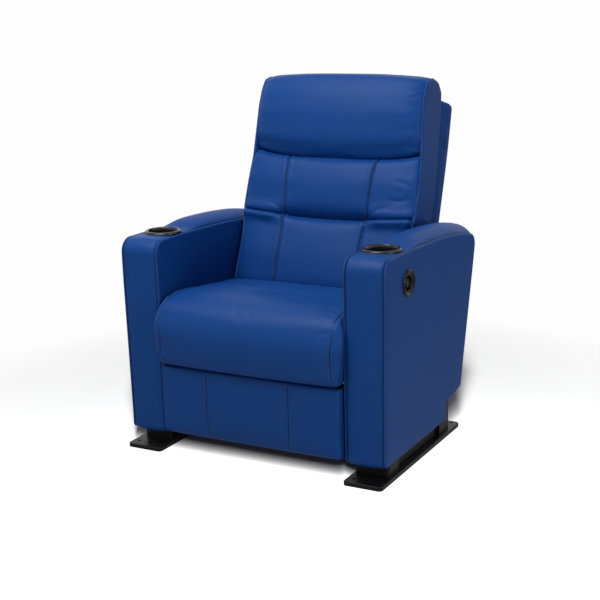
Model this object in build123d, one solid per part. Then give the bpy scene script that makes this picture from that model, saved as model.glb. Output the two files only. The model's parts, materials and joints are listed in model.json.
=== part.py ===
"""Cinema recliner seat with cup holders, a pull release and a folding footrest.

Millimetres, +Z up, the sitter faces -Y and the sitter's left is +X. While the pieces are made, y counts
rearward from the front plane of the arms. Each piece is moved as it is written, so that the origin of
the part is the centre of its floor bolts, on the floor.
"""

import math
import os

from build123d import *

os.makedirs("parts", exist_ok=True)

# ---- Overall sizes -----------------------------------------------------------------------------------
SEAT_GAP = 590.0  # clear width between the two arms
ARM_WIDTH = 125.0
ARM_HEIGHT = 631.0  # floor to the level front part of the arm's top
ARM_DEPTH = 664.0  # front plane to the rear corner of the arm's top
SEAT_DEPTH = 400.0  # front plane to the rear of the seat cushion
SEAT_HEIGHT = 467.0  # floor to the crest of the seat cushion
BACK_LENGTH = 788.0  # back hinge to the pillow's top, along the back
BACK_LEAN = 20.0  # degrees from the vertical, back upright

# ---- Clearances --------------------------------------------------------------------------------------
RUNNING = 0.05  # radial, a pin in its eye
HEAD_PLAY = 0.1  # axial, a rivet head on its plate
SOFT_GAP = 0.3  # foam to what it lies on
CUT_PAST = 1.0  # how far a cut runs past the faces that it opens
ARM_CLEARANCE = 4.0  # arm face to the first steel layer
CUSHION_PLAY = 2.0  # seat cushion to each arm
BACK_PLAY = 8.0  # back cushion to each arm
SHELL_PLAY = 5.0  # back shell to each arm

# ---- Floor plates, legs and cross tubes --------------------------------------------------------------
FLOOR_PLATE_WIDTH = 118.0
FLOOR_PLATE_THICKNESS = 12.0
FLOOR_PLATE_CORNER = 12.0
FLOOR_PLATE_EDGE = 2.0
FLOOR_PLATE_FRONT = -32.0
FLOOR_PLATE_REAR = 542.0
BOLT_HOLE_RADIUS = 5.5
BOLT_FRONT_Y = -2.0
BOLT_REAR_Y = 526.0
BOLT_PITCH = 38.0  # between the three holes of a row
ARM_BOTTOM = 55.0
LEG_INSET = 13.0  # arm's inner face to the leg's inner face
LEG_WIDTH = 100.0
LEG_FRONT_Y = 43.0
LEG_LENGTH = 75.0
LEG_CORNER = 10.0
REAR_LEG_Y = 408.0
REAR_LEG_LENGTH = 70.0
REAR_LEG_PLAY = 1.0
RAIL_SETBACK = 30.0  # leg's inner face to the rail's inner face
RAIL_WIDTH = 60.0
RAIL_HEIGHT = 38.0
RAIL_WALL = 3.0
TUBE_SIDE = 30.0
TUBE_WALL = 2.5
TUBE_BOTTOM = 22.0
FRONT_TUBE_Y = 320.0
REAR_TUBE_Y = 430.0
LEG_BOLT_RADIUS = 4.0
LEG_BOLT_HEAD_RADIUS = 7.5
LEG_BOLT_HEAD_HEIGHT = 5.0
LEG_BOLT_LENGTH = 30.0
LEG_BOLT_SINK = 0.5  # the head's face above the floor
LEG_BOLT_SPACING = 50.0

# ---- Arms --------------------------------------------------------------------------------------------
ARM_LEVEL = 230.0  # the level front part of the top
ARM_TOP_RADIUS = 1600.0  # the long fall towards the rear
ARM_FRONT_ROUND = 45.0
ARM_REAR_ROUND = 40.0
ARM_STEP_Y = 440.0  # the bottom steps up here, over the rear leg
ARM_STEP_Z = 108.0
ARM_TAIL_Y = 553.0
ARM_TAIL_Z = 125.0
PANEL_THICKNESS = 8.0  # leather and foam on the sides
PANEL_EDGE = 6.0
BORDER_THICKNESS = 12.0  # leather and foam on the front, top and rear
BOARD_THICKNESS = 12.0
BOARD_PLAY = 0.3

# ---- Cup holders -------------------------------------------------------------------------------------
CUP_Y = 123.0
CUP_BORE = 80.0
CUP_WALL = 2.0
CUP_DEPTH = 58.0  # flange top to the underside of the cup
CUP_FLANGE_WIDTH = 12.0
CUP_FLANGE_HEIGHT = 6.0
CUP_EDGE = 3.6
CUP_HOLE_PLAY = 0.5

# ---- Pull release in the left arm --------------------------------------------------------------------
BEZEL_Y = 146.0
BEZEL_BELOW_TOP = 85.0
BEZEL_RADIUS = 38.5
BEZEL_PROUD = 4.5
COLLAR_RADIUS = 31.0
COLLAR_DEPTH = 24.0
COLLAR_PLAY = 0.5
COLLAR_FLOOR = 2.0
DISH_RADIUS = 34.0
DISH_DEPTH = 6.0
RECESS_RADIUS = 21.0
RECESS_RAISE = 4.0  # the finger recess sits a little above the bezel's centre
PADDLE_PLAY = 1.5
PADDLE_THICKNESS = 4.0
PADDLE_HEIGHT = 16.0
PADDLE_HUB_RADIUS = 3.5
PADDLE_HUB_LENGTH = 16.0
PADDLE_SETBACK = 12.0  # arm's outer face to the paddle's pin
HANDLE_PIN_RADIUS = 1.5
HANDLE_PIN_LENGTH = 44.0
HANDLE_PIN_DROP = 12.0  # recess centre to the pin
SPRING_WIRE = 0.8
SPRING_RADIUS = 2.6
SPRING_PITCH = 1.3
SPRING_TURNS = 4
CABLE_RADIUS = 2.5
CABLE_HOLE_RADIUS = 4.0
CABLE_EXIT_Y = 195.0
CABLE_EXIT_Z = 150.0
CABLE_TURN_IN = 24.0  # inner board to where the cable turns towards the mechanism
# Each row: share of the cable's drop, x inside the arm's outer face, y past the bezel's centre
CABLE_ROUTE = ((0.0, 25, 0), (0.17, 27.5, 0), (0.37, 37.5, 7), (0.58, 48.5, 19), (0.8, 62.5, 35))
CABLE_BEND_SHARE = 0.45  # of the shorter run beside a bend

# ---- Steel layers of the mechanism -------------------------------------------------------------------
PLATE = 4.0
LAYER_GAP = 3.0
PIN_RADIUS = 5.0
HEAD_RADIUS = 8.0
HEAD_HEIGHT = 2.0
EYE_RADIUS = 11.0
LINK_WIDTH = 18.0
BASE_LAYER, SWING_LAYER, SEAT_LAYER, DRIVE_LAYER, FORE_LAYER, BRACKET_LAYER = range(6)

# ---- Swing links: they carry the seat forward --------------------------------------------------------
SWING_LENGTH = 110.0
SWING_LEAN = 19.0  # rearward at rest, and as much forward at full recline
SWING_Z = 150.0
FRONT_SWING_Y = 230.0
BASE_PLATE_FRONT = 183.0
BASE_PLATE_OVERHANG = 65.0  # behind the rear link's pivot
BASE_PLATE_BOTTOM = 115.0
BASE_PLATE_TOP = 175.0
FOOT_TAB_OVERHANG = 2.0
FOOT_TAB_DEPTH = 29.0

# ---- Seat plates and seat frame ----------------------------------------------------------------------
SEAT_PLATE_FRONT = 95.0
SEAT_PLATE_BOTTOM = 240.0
SEAT_PLATE_TOP = 315.0
SEAT_FLANGE_DEPTH = 52.0
HINGE_BEHIND_SEAT = 55.0
HINGE_BELOW_TOP = 15.0
HINGE_EYE_RADIUS = 15.0
SEAT_RAIL_HEIGHT = 24.0
SEAT_RAIL_WIDTH = 47.0
FRONT_RAIL_Y = 20.0
CROSS_RAIL_DEPTH = 25.0
FRONT_RAIL_DROP = 29.0  # the front rail hangs this far below the side rails
REAR_RAIL_INSET = 2.0
SEAT_SPRING_COUNT = 5
BACK_SPRING_COUNT = 4
SINUOUS_RUNS = 8  # cross runs of each spring
SINUOUS_WIRE_RADIUS = 2.0
SINUOUS_BEND_SHARE = 0.235  # bend radius as a share of the pitch; the shortest run holds two bends
SINUOUS_HALF_WIDTH = 24.0
SINUOUS_DROP = 8.0  # rail's top to the wire's centre

# ---- Footrest linkage: two parallelograms on each side -----------------------------------------------
DRIVE_PIVOT_Y = 150.0
DRIVE_PIVOT_BELOW_TOP = 43.0
DRIVE_LENGTH = 229.0
DRIVE_ANGLE = -61.8  # degrees, in the y-z plane, folded
FORE_Y = -198.2
FORE_Z = 134.8
PARALLEL_OFFSET = 50.0
DRIVE_TUBE_REACH = 80.0
DRIVE_TUBE_RADIUS = 11.0
DRIVE_TUBE_WALL = 2.0
BRACKET_EYE_RADIUS = 14.0
BRACKET_LOW = 185.0
BRACKET_HIGH = 252.0
BRACKET_FLANGE = 30.0

# ---- Footrest board and pad --------------------------------------------------------------------------
FOOTREST_BOTTOM = 62.0
FOOTREST_TOP = 272.0
FOOTREST_TOP_INSET = 10.0  # half width at the top, inside the arms
FOOTREST_BOTTOM_INSET = 27.0
FOOTBOARD_THICKNESS = 12.0
FOOTBOARD_MARGIN = 9.0
FOOTREST_SEAM_X = 134.0

# ---- Back frame, in the back's own axes: n rearward, u up along the back --------------------------------
FRAME_FRONT = 40.0  # n of the uprights' front faces
UPRIGHT_WIDTH = 24.0
UPRIGHT_DEPTH = 30.0
UPRIGHT_BOTTOM = 40.0
UPRIGHT_BELOW_TOP = 88.0
BACK_RAIL_HEIGHT = 30.0
MIDDLE_RAIL_BOTTOM = 400.0
BRACKET_EYE = 15.0
BRACKET_FRONT_ANGLE = 127.0  # where the bracket's edges leave its eye, degrees from n
BRACKET_REAR_ANGLE = -37.0
BRACKET_FOOT = 50.0
BRACKET_HEEL = 55.0
BRACKET_TOP = 260.0
SHELL_WALL = 10.0
SHELL_REAR = 135.0
SHELL_BOTTOM = 5.0
SHELL_BELOW_TOP = 57.0
SHELL_RIM_INSET = 14.0
SHELL_RIM_DEPTH = 35.0
SHELL_CORNER = 16.0
SHELL_TOP_ROUND = 8.0

# ---- Back cushions -----------------------------------------------------------------------------------
LOWER_BOTTOM = 52.0
TUCK = 340.0  # between the lower and middle cushions
FOLD = 535.0  # under the pillow
CHAMBER_GAP = 0.6
BACK_SEAM_X = 138.0
SIDE_DRAW = 4.0  # how far a cushion's side pulls in between its corners
SIDE_DRAW_SHARE = 0.1  # and at most this share of the side's depth
SEAM_VALLEY = 5.0

# Each row: share of the cushion's height, depth of its edge in front of the hinge, crown over the edge
LOWER_FORM = ((0.0, 58, 6), (0.2, 100, 12), (0.5, 102, 20), (0.82, 95, 18), (0.96, 85, 10), (1.0, 78, 7))
MIDDLE_FORM = ((0.0, 78, 7), (0.06, 86, 12), (0.3, 92, 22), (0.66, 88, 24), (0.92, 80, 18), (1.0, 76, 8))
# The pillow's rows end with how far its rear is rounded off in front of the frame
PILLOW_FORM = (
    (0.0, 70, 20, 0),
    (0.04, 86, 32, 0),
    (0.18, 96, 40, 0),
    (0.42, 104, 42, 0),
    (0.66, 108, 35, 0),
    (0.83, 100, 28, 6),
    (0.95, 80, 18, 25),
    (1.0, 45, 10, 50),
)

# Each row: y, height of the underside, edge below the seat's height, crown, half width past the gap's
ROLL_FORM = (
    (-58, 335, 80, 10, -22),
    (-54, 305, 47, 8, -5),
    (-44, 284, 32, 9, 10),
    (-28, 276, 22, 9, 17),
    (-12, 275, 17, 9, 12),
)
ROLL_BOTTOM = 275.0
ROLL_REAR_PLAY = 1.7  # the roll passes from before the arms to between them
# Each row: share of the seat's depth, edge below the seat's height, crown
SEAT_FORM = ((0.27, 8, 8), (0.48, 23, 6), (0.7, 37, 8), (0.94, 46, 8), (0.985, 66, 6))

# Each row: share of the panel's height, y of the edge, crown
FOOTREST_FORM = (
    (0.0, -20, 4),
    (0.05, -27, 9),
    (0.23, -30, 12),
    (0.52, -31, 13),
    (0.82, -30, 12),
    (0.95, -26, 8),
    (1.0, -18, 3),
)

# ---- Places worked out from the sizes ----------------------------------------------------------------
ARM_INNER = SEAT_GAP / 2
ARM_OUTER = ARM_INNER + ARM_WIDTH
ARM_MIDDLE = ARM_INNER + ARM_WIDTH / 2
CAVITY_LOW = ARM_INNER + PANEL_THICKNESS + BOARD_THICKNESS
CAVITY_HIGH = ARM_OUTER - PANEL_THICKNESS - BOARD_THICKNESS
BOLT_CENTRE_Y = (BOLT_FRONT_Y + BOLT_REAR_Y) / 2
HOLE_RADIUS = PIN_RADIUS + RUNNING
LEG_LOW = ARM_INNER + LEG_INSET
LEG_HIGH = LEG_LOW + LEG_WIDTH
RAIL_LOW = LEG_LOW + RAIL_SETBACK
PLATE_MIDDLE = ARM_OUTER - FLOOR_PLATE_WIDTH / 2

REAR_SWING_Y = SEAT_DEPTH
SWING_RISE = (
    SWING_LENGTH * math.sin(math.radians(SWING_LEAN)),
    SWING_LENGTH * math.cos(math.radians(SWING_LEAN)),
)
FRONT_SWING_LOW = (FRONT_SWING_Y, SWING_Z)
REAR_SWING_LOW = (REAR_SWING_Y, SWING_Z)
FRONT_SWING_HIGH = (FRONT_SWING_Y + SWING_RISE[0], SWING_Z + SWING_RISE[1])
REAR_SWING_HIGH = (REAR_SWING_Y + SWING_RISE[0], SWING_Z + SWING_RISE[1])
HINGE = (SEAT_DEPTH + HINGE_BEHIND_SEAT, SEAT_PLATE_TOP - HINGE_BELOW_TOP)


def along(start, angle, distance):
    """The point at a distance from start, in a direction in the y-z plane."""
    turn = math.radians(angle)
    return (start[0] + distance * math.cos(turn), start[1] + distance * math.sin(turn))


FORE_ANGLE = math.degrees(math.atan2(FORE_Z, FORE_Y))
FORE_LENGTH = math.hypot(FORE_Y, FORE_Z)
DRIVE_TOP = (DRIVE_PIVOT_Y, SEAT_PLATE_TOP - DRIVE_PIVOT_BELOW_TOP)
DRIVE_END = along(DRIVE_TOP, DRIVE_ANGLE, DRIVE_LENGTH)
GUIDE_TOP = along(DRIVE_TOP, FORE_ANGLE, PARALLEL_OFFSET)
GUIDE_END = along(DRIVE_END, FORE_ANGLE, PARALLEL_OFFSET)
FORE_END = along(DRIVE_END, FORE_ANGLE, FORE_LENGTH)
CONTROL_START = along(DRIVE_END, DRIVE_ANGLE, -PARALLEL_OFFSET)
CONTROL_END = along(FORE_END, DRIVE_ANGLE, -PARALLEL_OFFSET)
DRIVE_TUBE = along(DRIVE_TOP, DRIVE_ANGLE, DRIVE_TUBE_REACH)

SEAT_RAIL_BOTTOM = SEAT_PLATE_TOP + PLATE
SEAT_RAIL_TOP = SEAT_RAIL_BOTTOM + SEAT_RAIL_HEIGHT
CUSHION_BOTTOM = SEAT_RAIL_TOP + SOFT_GAP
UPRIGHT_TOP = BACK_LENGTH - UPRIGHT_BELOW_TOP
SHELL_TOP = BACK_LENGTH - SHELL_BELOW_TOP
SHELL_HALF = ARM_INNER - SHELL_PLAY
CUSHION_HALF = ARM_INNER - BACK_PLAY
CUP_TOP = ARM_HEIGHT + CUP_FLANGE_HEIGHT
BEZEL_Z = ARM_HEIGHT - BEZEL_BELOW_TOP
RECESS_Z = BEZEL_Z + RECESS_RAISE
HANDLE_PIN_Z = RECESS_Z - HANDLE_PIN_DROP
HANDLE_PIN_X = ARM_OUTER - PADDLE_SETBACK


# ---- Small tools -------------------------------------------------------------------------------------
def save(name, shape):
    """Write a piece as its own file, in the part's own frame."""
    export_step(Pos(0, -BOLT_CENTRE_Y, 0) * shape, f"parts/{name}.step")


def mirrored(shape):
    return mirror(shape, about=Plane.YZ)


def save_sides(name, shape):
    """Write the left piece and its mirror image as two nodes."""
    save(f"left_{name}", shape)
    save(f"right_{name}", mirrored(shape))


def save_both(name, shape):
    """Write the left pieces and their mirror images as one node."""
    solids = list(shape.solids())
    save(name, Compound(solids + [mirrored(solid).solids()[0] for solid in solids]))


def block(x, y, z):
    """A box from three (low, high) pairs."""
    size = [high - low for low, high in (x, y, z)]
    middle = [(high + low) / 2 for low, high in (x, y, z)]
    return Pos(*middle) * Box(*size)


def slab(outline, low, high):
    """An outline in (y, z) made solid from x = low to x = high."""
    return extrude(Plane.YZ.offset(low) * outline, amount=high - low)


def polygon(*points):
    return make_face(Polyline(*points, close=True))


def discs(points, radius):
    return [Pos(*point) * Circle(radius) for point in points]


def layer_high(layer):
    """|x| of a steel layer's outer face. The layers count inward from the arm."""
    return ARM_INNER - ARM_CLEARANCE - layer * (PLATE + LAYER_GAP)


def layer_low(layer):
    return layer_high(layer) - PLATE


def layer_plate(outline, layer):
    return slab(outline, layer_low(layer), layer_high(layer))


def bar(start, end):
    """A flat link's outline with a round eye at each end."""
    length = math.dist(start, end)
    angle = math.degrees(math.atan2(end[1] - start[1], end[0] - start[0]))
    middle = ((start[0] + end[0]) / 2, (start[1] + end[1]) / 2)
    strip = Pos(*middle) * Rot(0, 0, angle) * Rectangle(length, LINK_WIDTH)
    return strip + discs((start, end), EYE_RADIUS)


def link(layer, *pivots):
    """A flat link from its first pivot to its last, with a hole at each."""
    return layer_plate(bar(pivots[0], pivots[-1]) - discs(pivots, HOLE_RADIUS), layer)


def rivet(point, outer_layer, inner_layer):
    """A pin with two heads that holds two neighbouring layers together."""
    high = layer_high(outer_layer) + HEAD_PLAY
    low = layer_low(inner_layer) - HEAD_PLAY
    spot = Pos(*point)
    shank = slab(spot * Circle(PIN_RADIUS), low, high)
    outer_head = slab(spot * Circle(HEAD_RADIUS), high, high + HEAD_HEIGHT)
    inner_head = slab(spot * Circle(HEAD_RADIUS), low - HEAD_HEIGHT, low)
    return shank + outer_head + inner_head


def sinuous_spring(length):
    """A zigzag wire along +Y from the origin: cross runs joined by round bends, with straight ends."""
    pitch = length / (SINUOUS_RUNS + 1)
    corners = [(0, 0), (0, pitch)]
    for run in range(SINUOUS_RUNS):
        side = SINUOUS_HALF_WIDTH * (-1) ** run
        corners += [(side, pitch * (run + 1)), (side, pitch * (run + 2))]
    turn_back = length - pitch / 2
    corners[-1] = (side, turn_back)
    corners += [(0, turn_back), (0, length)]
    path = FilletPolyline(*corners, radius=SINUOUS_BEND_SHARE * pitch)
    profile = Plane(origin=path @ 0, z_dir=path % 0) * Circle(SINUOUS_WIRE_RADIUS)
    return sweep(profile, path=path)


# ---- Floor plates, legs and cross tubes --------------------------------------------------------------
def floor_plate():
    """A steel plate under each arm, with three bolt holes at each end."""
    length = FLOOR_PLATE_REAR - FLOOR_PLATE_FRONT
    middle_y = (FLOOR_PLATE_REAR + FLOOR_PLATE_FRONT) / 2
    outline = RectangleRounded(FLOOR_PLATE_WIDTH, length, FLOOR_PLATE_CORNER)
    plate = extrude(Pos(PLATE_MIDDLE, middle_y) * outline, amount=FLOOR_PLATE_THICKNESS)
    plate = fillet(plate.faces().sort_by(Axis.Z)[-1].edges(), FLOOR_PLATE_EDGE)
    for y in (BOLT_FRONT_Y, BOLT_REAR_Y):
        for step in (-1, 0, 1):
            hole = Cylinder(BOLT_HOLE_RADIUS, 3 * FLOOR_PLATE_THICKNESS)
            plate -= Pos(PLATE_MIDDLE + step * BOLT_PITCH, y, 0) * hole
    return plate - [bolt_space(spot) for spot in leg_bolt_spots()]


def leg_bolt_spots():
    """Centres of the bolts that hold the legs down on the plate."""
    middle_x = (LEG_LOW + LEG_HIGH) / 2
    spots = []
    for y in (LEG_FRONT_Y + LEG_LENGTH / 2, REAR_LEG_Y + REAR_LEG_LENGTH / 4):
        for step in (-1, 1):
            spots.append((middle_x + step * LEG_BOLT_SPACING / 2, y))
    return spots


def standing_cylinder(radius, height):
    return Cylinder(radius, height, align=(Align.CENTER, Align.CENTER, Align.MIN))


def leg_bolt(spot, play=0.0):
    """A bolt from below, its head sunk just inside the plate."""
    shank = standing_cylinder(LEG_BOLT_RADIUS + play, LEG_BOLT_LENGTH + play)
    head = standing_cylinder(LEG_BOLT_HEAD_RADIUS + play, LEG_BOLT_HEAD_HEIGHT + play)
    return Pos(*spot, LEG_BOLT_SINK) * (shank + head)


def bolt_space(spot):
    """The bored hole for a leg bolt, open below."""
    mouth = standing_cylinder(LEG_BOLT_HEAD_RADIUS + RUNNING, 3 * LEG_BOLT_SINK)
    return leg_bolt(spot, RUNNING) + Pos(*spot, -LEG_BOLT_SINK) * mouth


def front_leg():
    length = (LEG_FRONT_Y, LEG_FRONT_Y + LEG_LENGTH)
    leg = block((LEG_LOW, LEG_HIGH), length, (FLOOR_PLATE_THICKNESS, ARM_BOTTOM))
    leg = fillet(leg.edges().filter_by(Axis.Z).group_by(Axis.X)[-1], LEG_CORNER)
    return leg - [bolt_space(spot) for spot in leg_bolt_spots()]


def arm_underside(y):
    """Height of the arm's sloping underside behind its step."""
    slope = (ARM_TAIL_Z - ARM_STEP_Z) / (ARM_TAIL_Y - ARM_STEP_Y)
    return ARM_STEP_Z + (y - ARM_STEP_Y) * slope


def rear_leg():
    """A leg that also reaches up behind the arm's step."""
    rear = REAR_LEG_Y + REAR_LEG_LENGTH
    step = ARM_STEP_Y + REAR_LEG_PLAY
    outline = polygon(
        (REAR_LEG_Y, FLOOR_PLATE_THICKNESS),
        (rear, FLOOR_PLATE_THICKNESS),
        (rear, arm_underside(rear)),
        (step, arm_underside(step)),
        (step, ARM_BOTTOM),
        (REAR_LEG_Y, ARM_BOTTOM),
    )
    leg = slab(outline, LEG_LOW, LEG_HIGH)
    return leg - [bolt_space(spot) for spot in leg_bolt_spots()]


def side_rail():
    """A box tube between the front and rear legs."""
    length = (LEG_FRONT_Y + LEG_LENGTH, REAR_LEG_Y)
    height = (FLOOR_PLATE_THICKNESS, FLOOR_PLATE_THICKNESS + RAIL_HEIGHT)
    rail = block((RAIL_LOW, RAIL_LOW + RAIL_WIDTH), length, height)
    rail = fillet(rail.edges().filter_by(Axis.Y), RAIL_WALL)
    hollow = block(
        (RAIL_LOW + RAIL_WALL, RAIL_LOW + RAIL_WIDTH - RAIL_WALL),
        length,
        (height[0] + RAIL_WALL, height[1] - RAIL_WALL),
    )
    return rail - hollow


def cross_tube(front, half_length):
    """A square tube across the seat, from one foot to the other."""
    depth = (front, front + TUBE_SIDE)
    height = (TUBE_BOTTOM, TUBE_BOTTOM + TUBE_SIDE)
    tube = block((-half_length, half_length), depth, height)
    hollow = block(
        (-half_length, half_length),
        (depth[0] + TUBE_WALL, depth[1] - TUBE_WALL),
        (height[0] + TUBE_WALL, height[1] - TUBE_WALL),
    )
    return tube - hollow


# ---- Arms --------------------------------------------------------------------------------------------
def arm_top_corner():
    """Where the falling top meets the rear edge, before rounding."""
    run = ARM_DEPTH - ARM_LEVEL
    drop = ARM_TOP_RADIUS - math.sqrt(ARM_TOP_RADIUS**2 - run**2)
    return (ARM_DEPTH, ARM_HEIGHT - drop)


def arm_outline():
    """The arm seen from the side: level then falling top, leaning rear edge, stepped underside."""
    level_end = (ARM_LEVEL, ARM_HEIGHT)
    corner = arm_top_corner()
    fall = RadiusArc(level_end, corner, ARM_TOP_RADIUS)
    rest = Polyline(
        corner,
        (ARM_TAIL_Y, ARM_TAIL_Z),
        (ARM_STEP_Y, ARM_STEP_Z),
        (ARM_STEP_Y, ARM_BOTTOM),
        (0, ARM_BOTTOM),
        (0, ARM_HEIGHT),
        level_end,
    )
    face = make_face(fall + rest)
    face = fillet(face.vertices().sort_by_distance((0, ARM_HEIGHT))[0], ARM_FRONT_ROUND)
    return fillet(face.vertices().sort_by_distance(corner)[0], ARM_REAR_ROUND)


def arm_inside(inset):
    """What lies inside the border: the outline drawn in, and left open below."""
    corner = arm_top_corner()
    lean = (corner[0] - ARM_TAIL_Y) / (corner[1] - ARM_TAIL_Z)
    shift = inset * math.hypot(1, lean)
    high = ARM_HEIGHT / 2
    below = polygon(
        (inset, 0),
        (ARM_TAIL_Y - shift - ARM_TAIL_Z * lean, 0),
        (ARM_TAIL_Y - shift + (high - ARM_TAIL_Z) * lean, high),
        (inset, high),
    )
    return offset(arm_outline(), amount=-inset) + below


def cup_space():
    """The room that a cup holder needs in the border and the boards."""
    radius = CUP_BORE / 2 + CUP_WALL + CUP_HOLE_PLAY
    low = CUP_TOP - CUP_DEPTH - CUP_HOLE_PLAY
    height = ARM_HEIGHT + BORDER_THICKNESS - low
    return Pos(ARM_MIDDLE, CUP_Y, low + height / 2) * Cylinder(radius, height)


def collar_space():
    """The round hole for the release's collar, through the outer panel and board."""
    hole = Pos(BEZEL_Y, BEZEL_Z) * Circle(COLLAR_RADIUS + COLLAR_PLAY)
    return slab(hole, CAVITY_HIGH - CUT_PAST, ARM_OUTER + CUT_PAST)


def cable_space():
    """The small hole for the release cable, through the inner board and panel."""
    hole = Pos(CABLE_EXIT_Y, CABLE_EXIT_Z) * Circle(CABLE_HOLE_RADIUS)
    return slab(hole, ARM_INNER - CUT_PAST, CAVITY_LOW + CUT_PAST)


def arm_panel(low, outward):
    """A padded side panel with its outer rim rounded. outward is +1 or -1 along x."""
    panel = slab(arm_outline(), low, low + PANEL_THICKNESS)
    faces = panel.faces().sort_by(Axis.X)
    rim = faces[-1 if outward > 0 else 0].edges()
    return fillet(rim, PANEL_EDGE)


def arm_border():
    """The padded strip up the front, over the top and down the rear."""
    outline = arm_outline() - arm_inside(BORDER_THICKNESS)
    strip = slab(outline, ARM_INNER + PANEL_THICKNESS, ARM_OUTER - PANEL_THICKNESS)
    return strip - cup_space()


def arm_board(low):
    outline = arm_outline() & arm_inside(BORDER_THICKNESS + BOARD_PLAY)
    return slab(outline, low, low + BOARD_THICKNESS)


def arm_frame(released):
    """Two side boards, and a front, a bottom and a rear board between them."""
    inner = arm_board(ARM_INNER + PANEL_THICKNESS) - cup_space()
    outer = arm_board(CAVITY_HIGH) - cup_space()
    front_y = BORDER_THICKNESS + BOARD_PLAY
    span = (CAVITY_LOW, CAVITY_HIGH)
    floor_top = ARM_BOTTOM + BOARD_THICKNESS
    front_top = CUP_TOP - CUP_DEPTH - BOARD_THICKNESS
    front = block(span, (front_y, front_y + BOARD_THICKNESS), (floor_top, front_top))
    floor = block(span, (front_y, ARM_STEP_Y - BOARD_THICKNESS), (ARM_BOTTOM, floor_top))
    rear = block(span, (ARM_STEP_Y - BOARD_THICKNESS, ARM_STEP_Y), (ARM_BOTTOM, ARM_HEIGHT / 2))
    if released:
        inner -= cable_space()
        outer -= collar_space()
    return Compound([shape.solids()[0] for shape in (inner, outer, front, floor, rear)])


# ---- Cup holders -------------------------------------------------------------------------------------
def cup_holder():
    """A round cup with a rounded flange that lies on the arm's top."""
    inner = CUP_BORE / 2
    outer = inner + CUP_WALL
    rim = outer + CUP_FLANGE_WIDTH
    low = CUP_TOP - CUP_DEPTH
    profile = polygon(
        (0, low),
        (outer, low),
        (outer, ARM_HEIGHT),
        (rim, ARM_HEIGHT),
        (rim, CUP_TOP),
        (outer, CUP_TOP),
        (inner, CUP_TOP - CUP_WALL),
        (inner, low + CUP_WALL),
        (0, low + CUP_WALL),
    )
    profile = fillet(profile.vertices().sort_by_distance((rim, CUP_TOP))[0], CUP_EDGE)
    return Pos(ARM_MIDDLE, CUP_Y, 0) * revolve(Plane.XZ * profile, axis=Axis.Z)


# ---- Pull release ------------------------------------------------------------------------------------
def handle_bezel():
    """A dished disc with a collar behind it, and a round finger recess with a floor."""
    centre = Pos(BEZEL_Y, BEZEL_Z)
    face_x = ARM_OUTER + BEZEL_PROUD
    back_x = ARM_OUTER - COLLAR_DEPTH
    disc = slab(centre * Circle(BEZEL_RADIUS), ARM_OUTER, face_x)
    disc = fillet(disc.faces().sort_by(Axis.X)[-1].edges(), BEZEL_PROUD / 2)
    collar = slab(centre * Circle(COLLAR_RADIUS), back_x, ARM_OUTER)
    recess_centre = Pos(BEZEL_Y, RECESS_Z)
    dish = loft(
        [
            Plane.YZ.offset(face_x - DISH_DEPTH) * recess_centre * Circle(RECESS_RADIUS),
            Plane.YZ.offset(face_x) * centre * Circle(DISH_RADIUS),
        ]
    )
    recess = slab(recess_centre * Circle(RECESS_RADIUS), back_x + COLLAR_FLOOR, face_x - DISH_DEPTH)
    pin_hole = Cylinder(HANDLE_PIN_RADIUS + RUNNING, HANDLE_PIN_LENGTH + 2 * RUNNING)
    return disc + collar - dish - recess - handle_pin_place() * pin_hole


def handle_pin_place():
    return Pos(HANDLE_PIN_X, BEZEL_Y, HANDLE_PIN_Z) * Rot(90, 0, 0)


def handle_paddle():
    """The pull plate: a band of a disc above the pin, with a narrower web down to a hub on the pin."""
    disc = Pos(BEZEL_Y, RECESS_Z) * Circle(RECESS_RADIUS - PADDLE_PLAY)
    top = HANDLE_PIN_Z + PADDLE_HEIGHT
    ledge = HANDLE_PIN_Z + PADDLE_HUB_RADIUS + PADDLE_PLAY
    band = Pos(BEZEL_Y, (top + ledge) / 2) * Rectangle(2 * RECESS_RADIUS, top - ledge)
    web = Pos(BEZEL_Y, (top + HANDLE_PIN_Z) / 2) * Rectangle(PADDLE_HUB_LENGTH, PADDLE_HEIGHT)
    low = HANDLE_PIN_X - PADDLE_THICKNESS / 2
    plate = slab(disc & (band + web), low, low + PADDLE_THICKNESS)
    hub = Cylinder(PADDLE_HUB_RADIUS, PADDLE_HUB_LENGTH)
    bore = Cylinder(HANDLE_PIN_RADIUS + RUNNING, 2 * PADDLE_HUB_LENGTH)
    return plate + handle_pin_place() * hub - handle_pin_place() * bore


def handle_pin():
    return handle_pin_place() * Cylinder(HANDLE_PIN_RADIUS, HANDLE_PIN_LENGTH)


def handle_spring():
    """A small coil round the pin, beside the paddle's hub."""
    path = Helix(pitch=SPRING_PITCH, height=SPRING_PITCH * SPRING_TURNS, radius=SPRING_RADIUS)
    profile = Plane(origin=path @ 0, z_dir=path % 0) * Circle(SPRING_WIRE / 2)
    coil = sweep(profile, path=path)
    start = BEZEL_Y + PADDLE_HUB_LENGTH / 2 + SPRING_WIRE
    return Pos(HANDLE_PIN_X, start, HANDLE_PIN_Z) * Rot(-90, 0, 0) * coil


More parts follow.
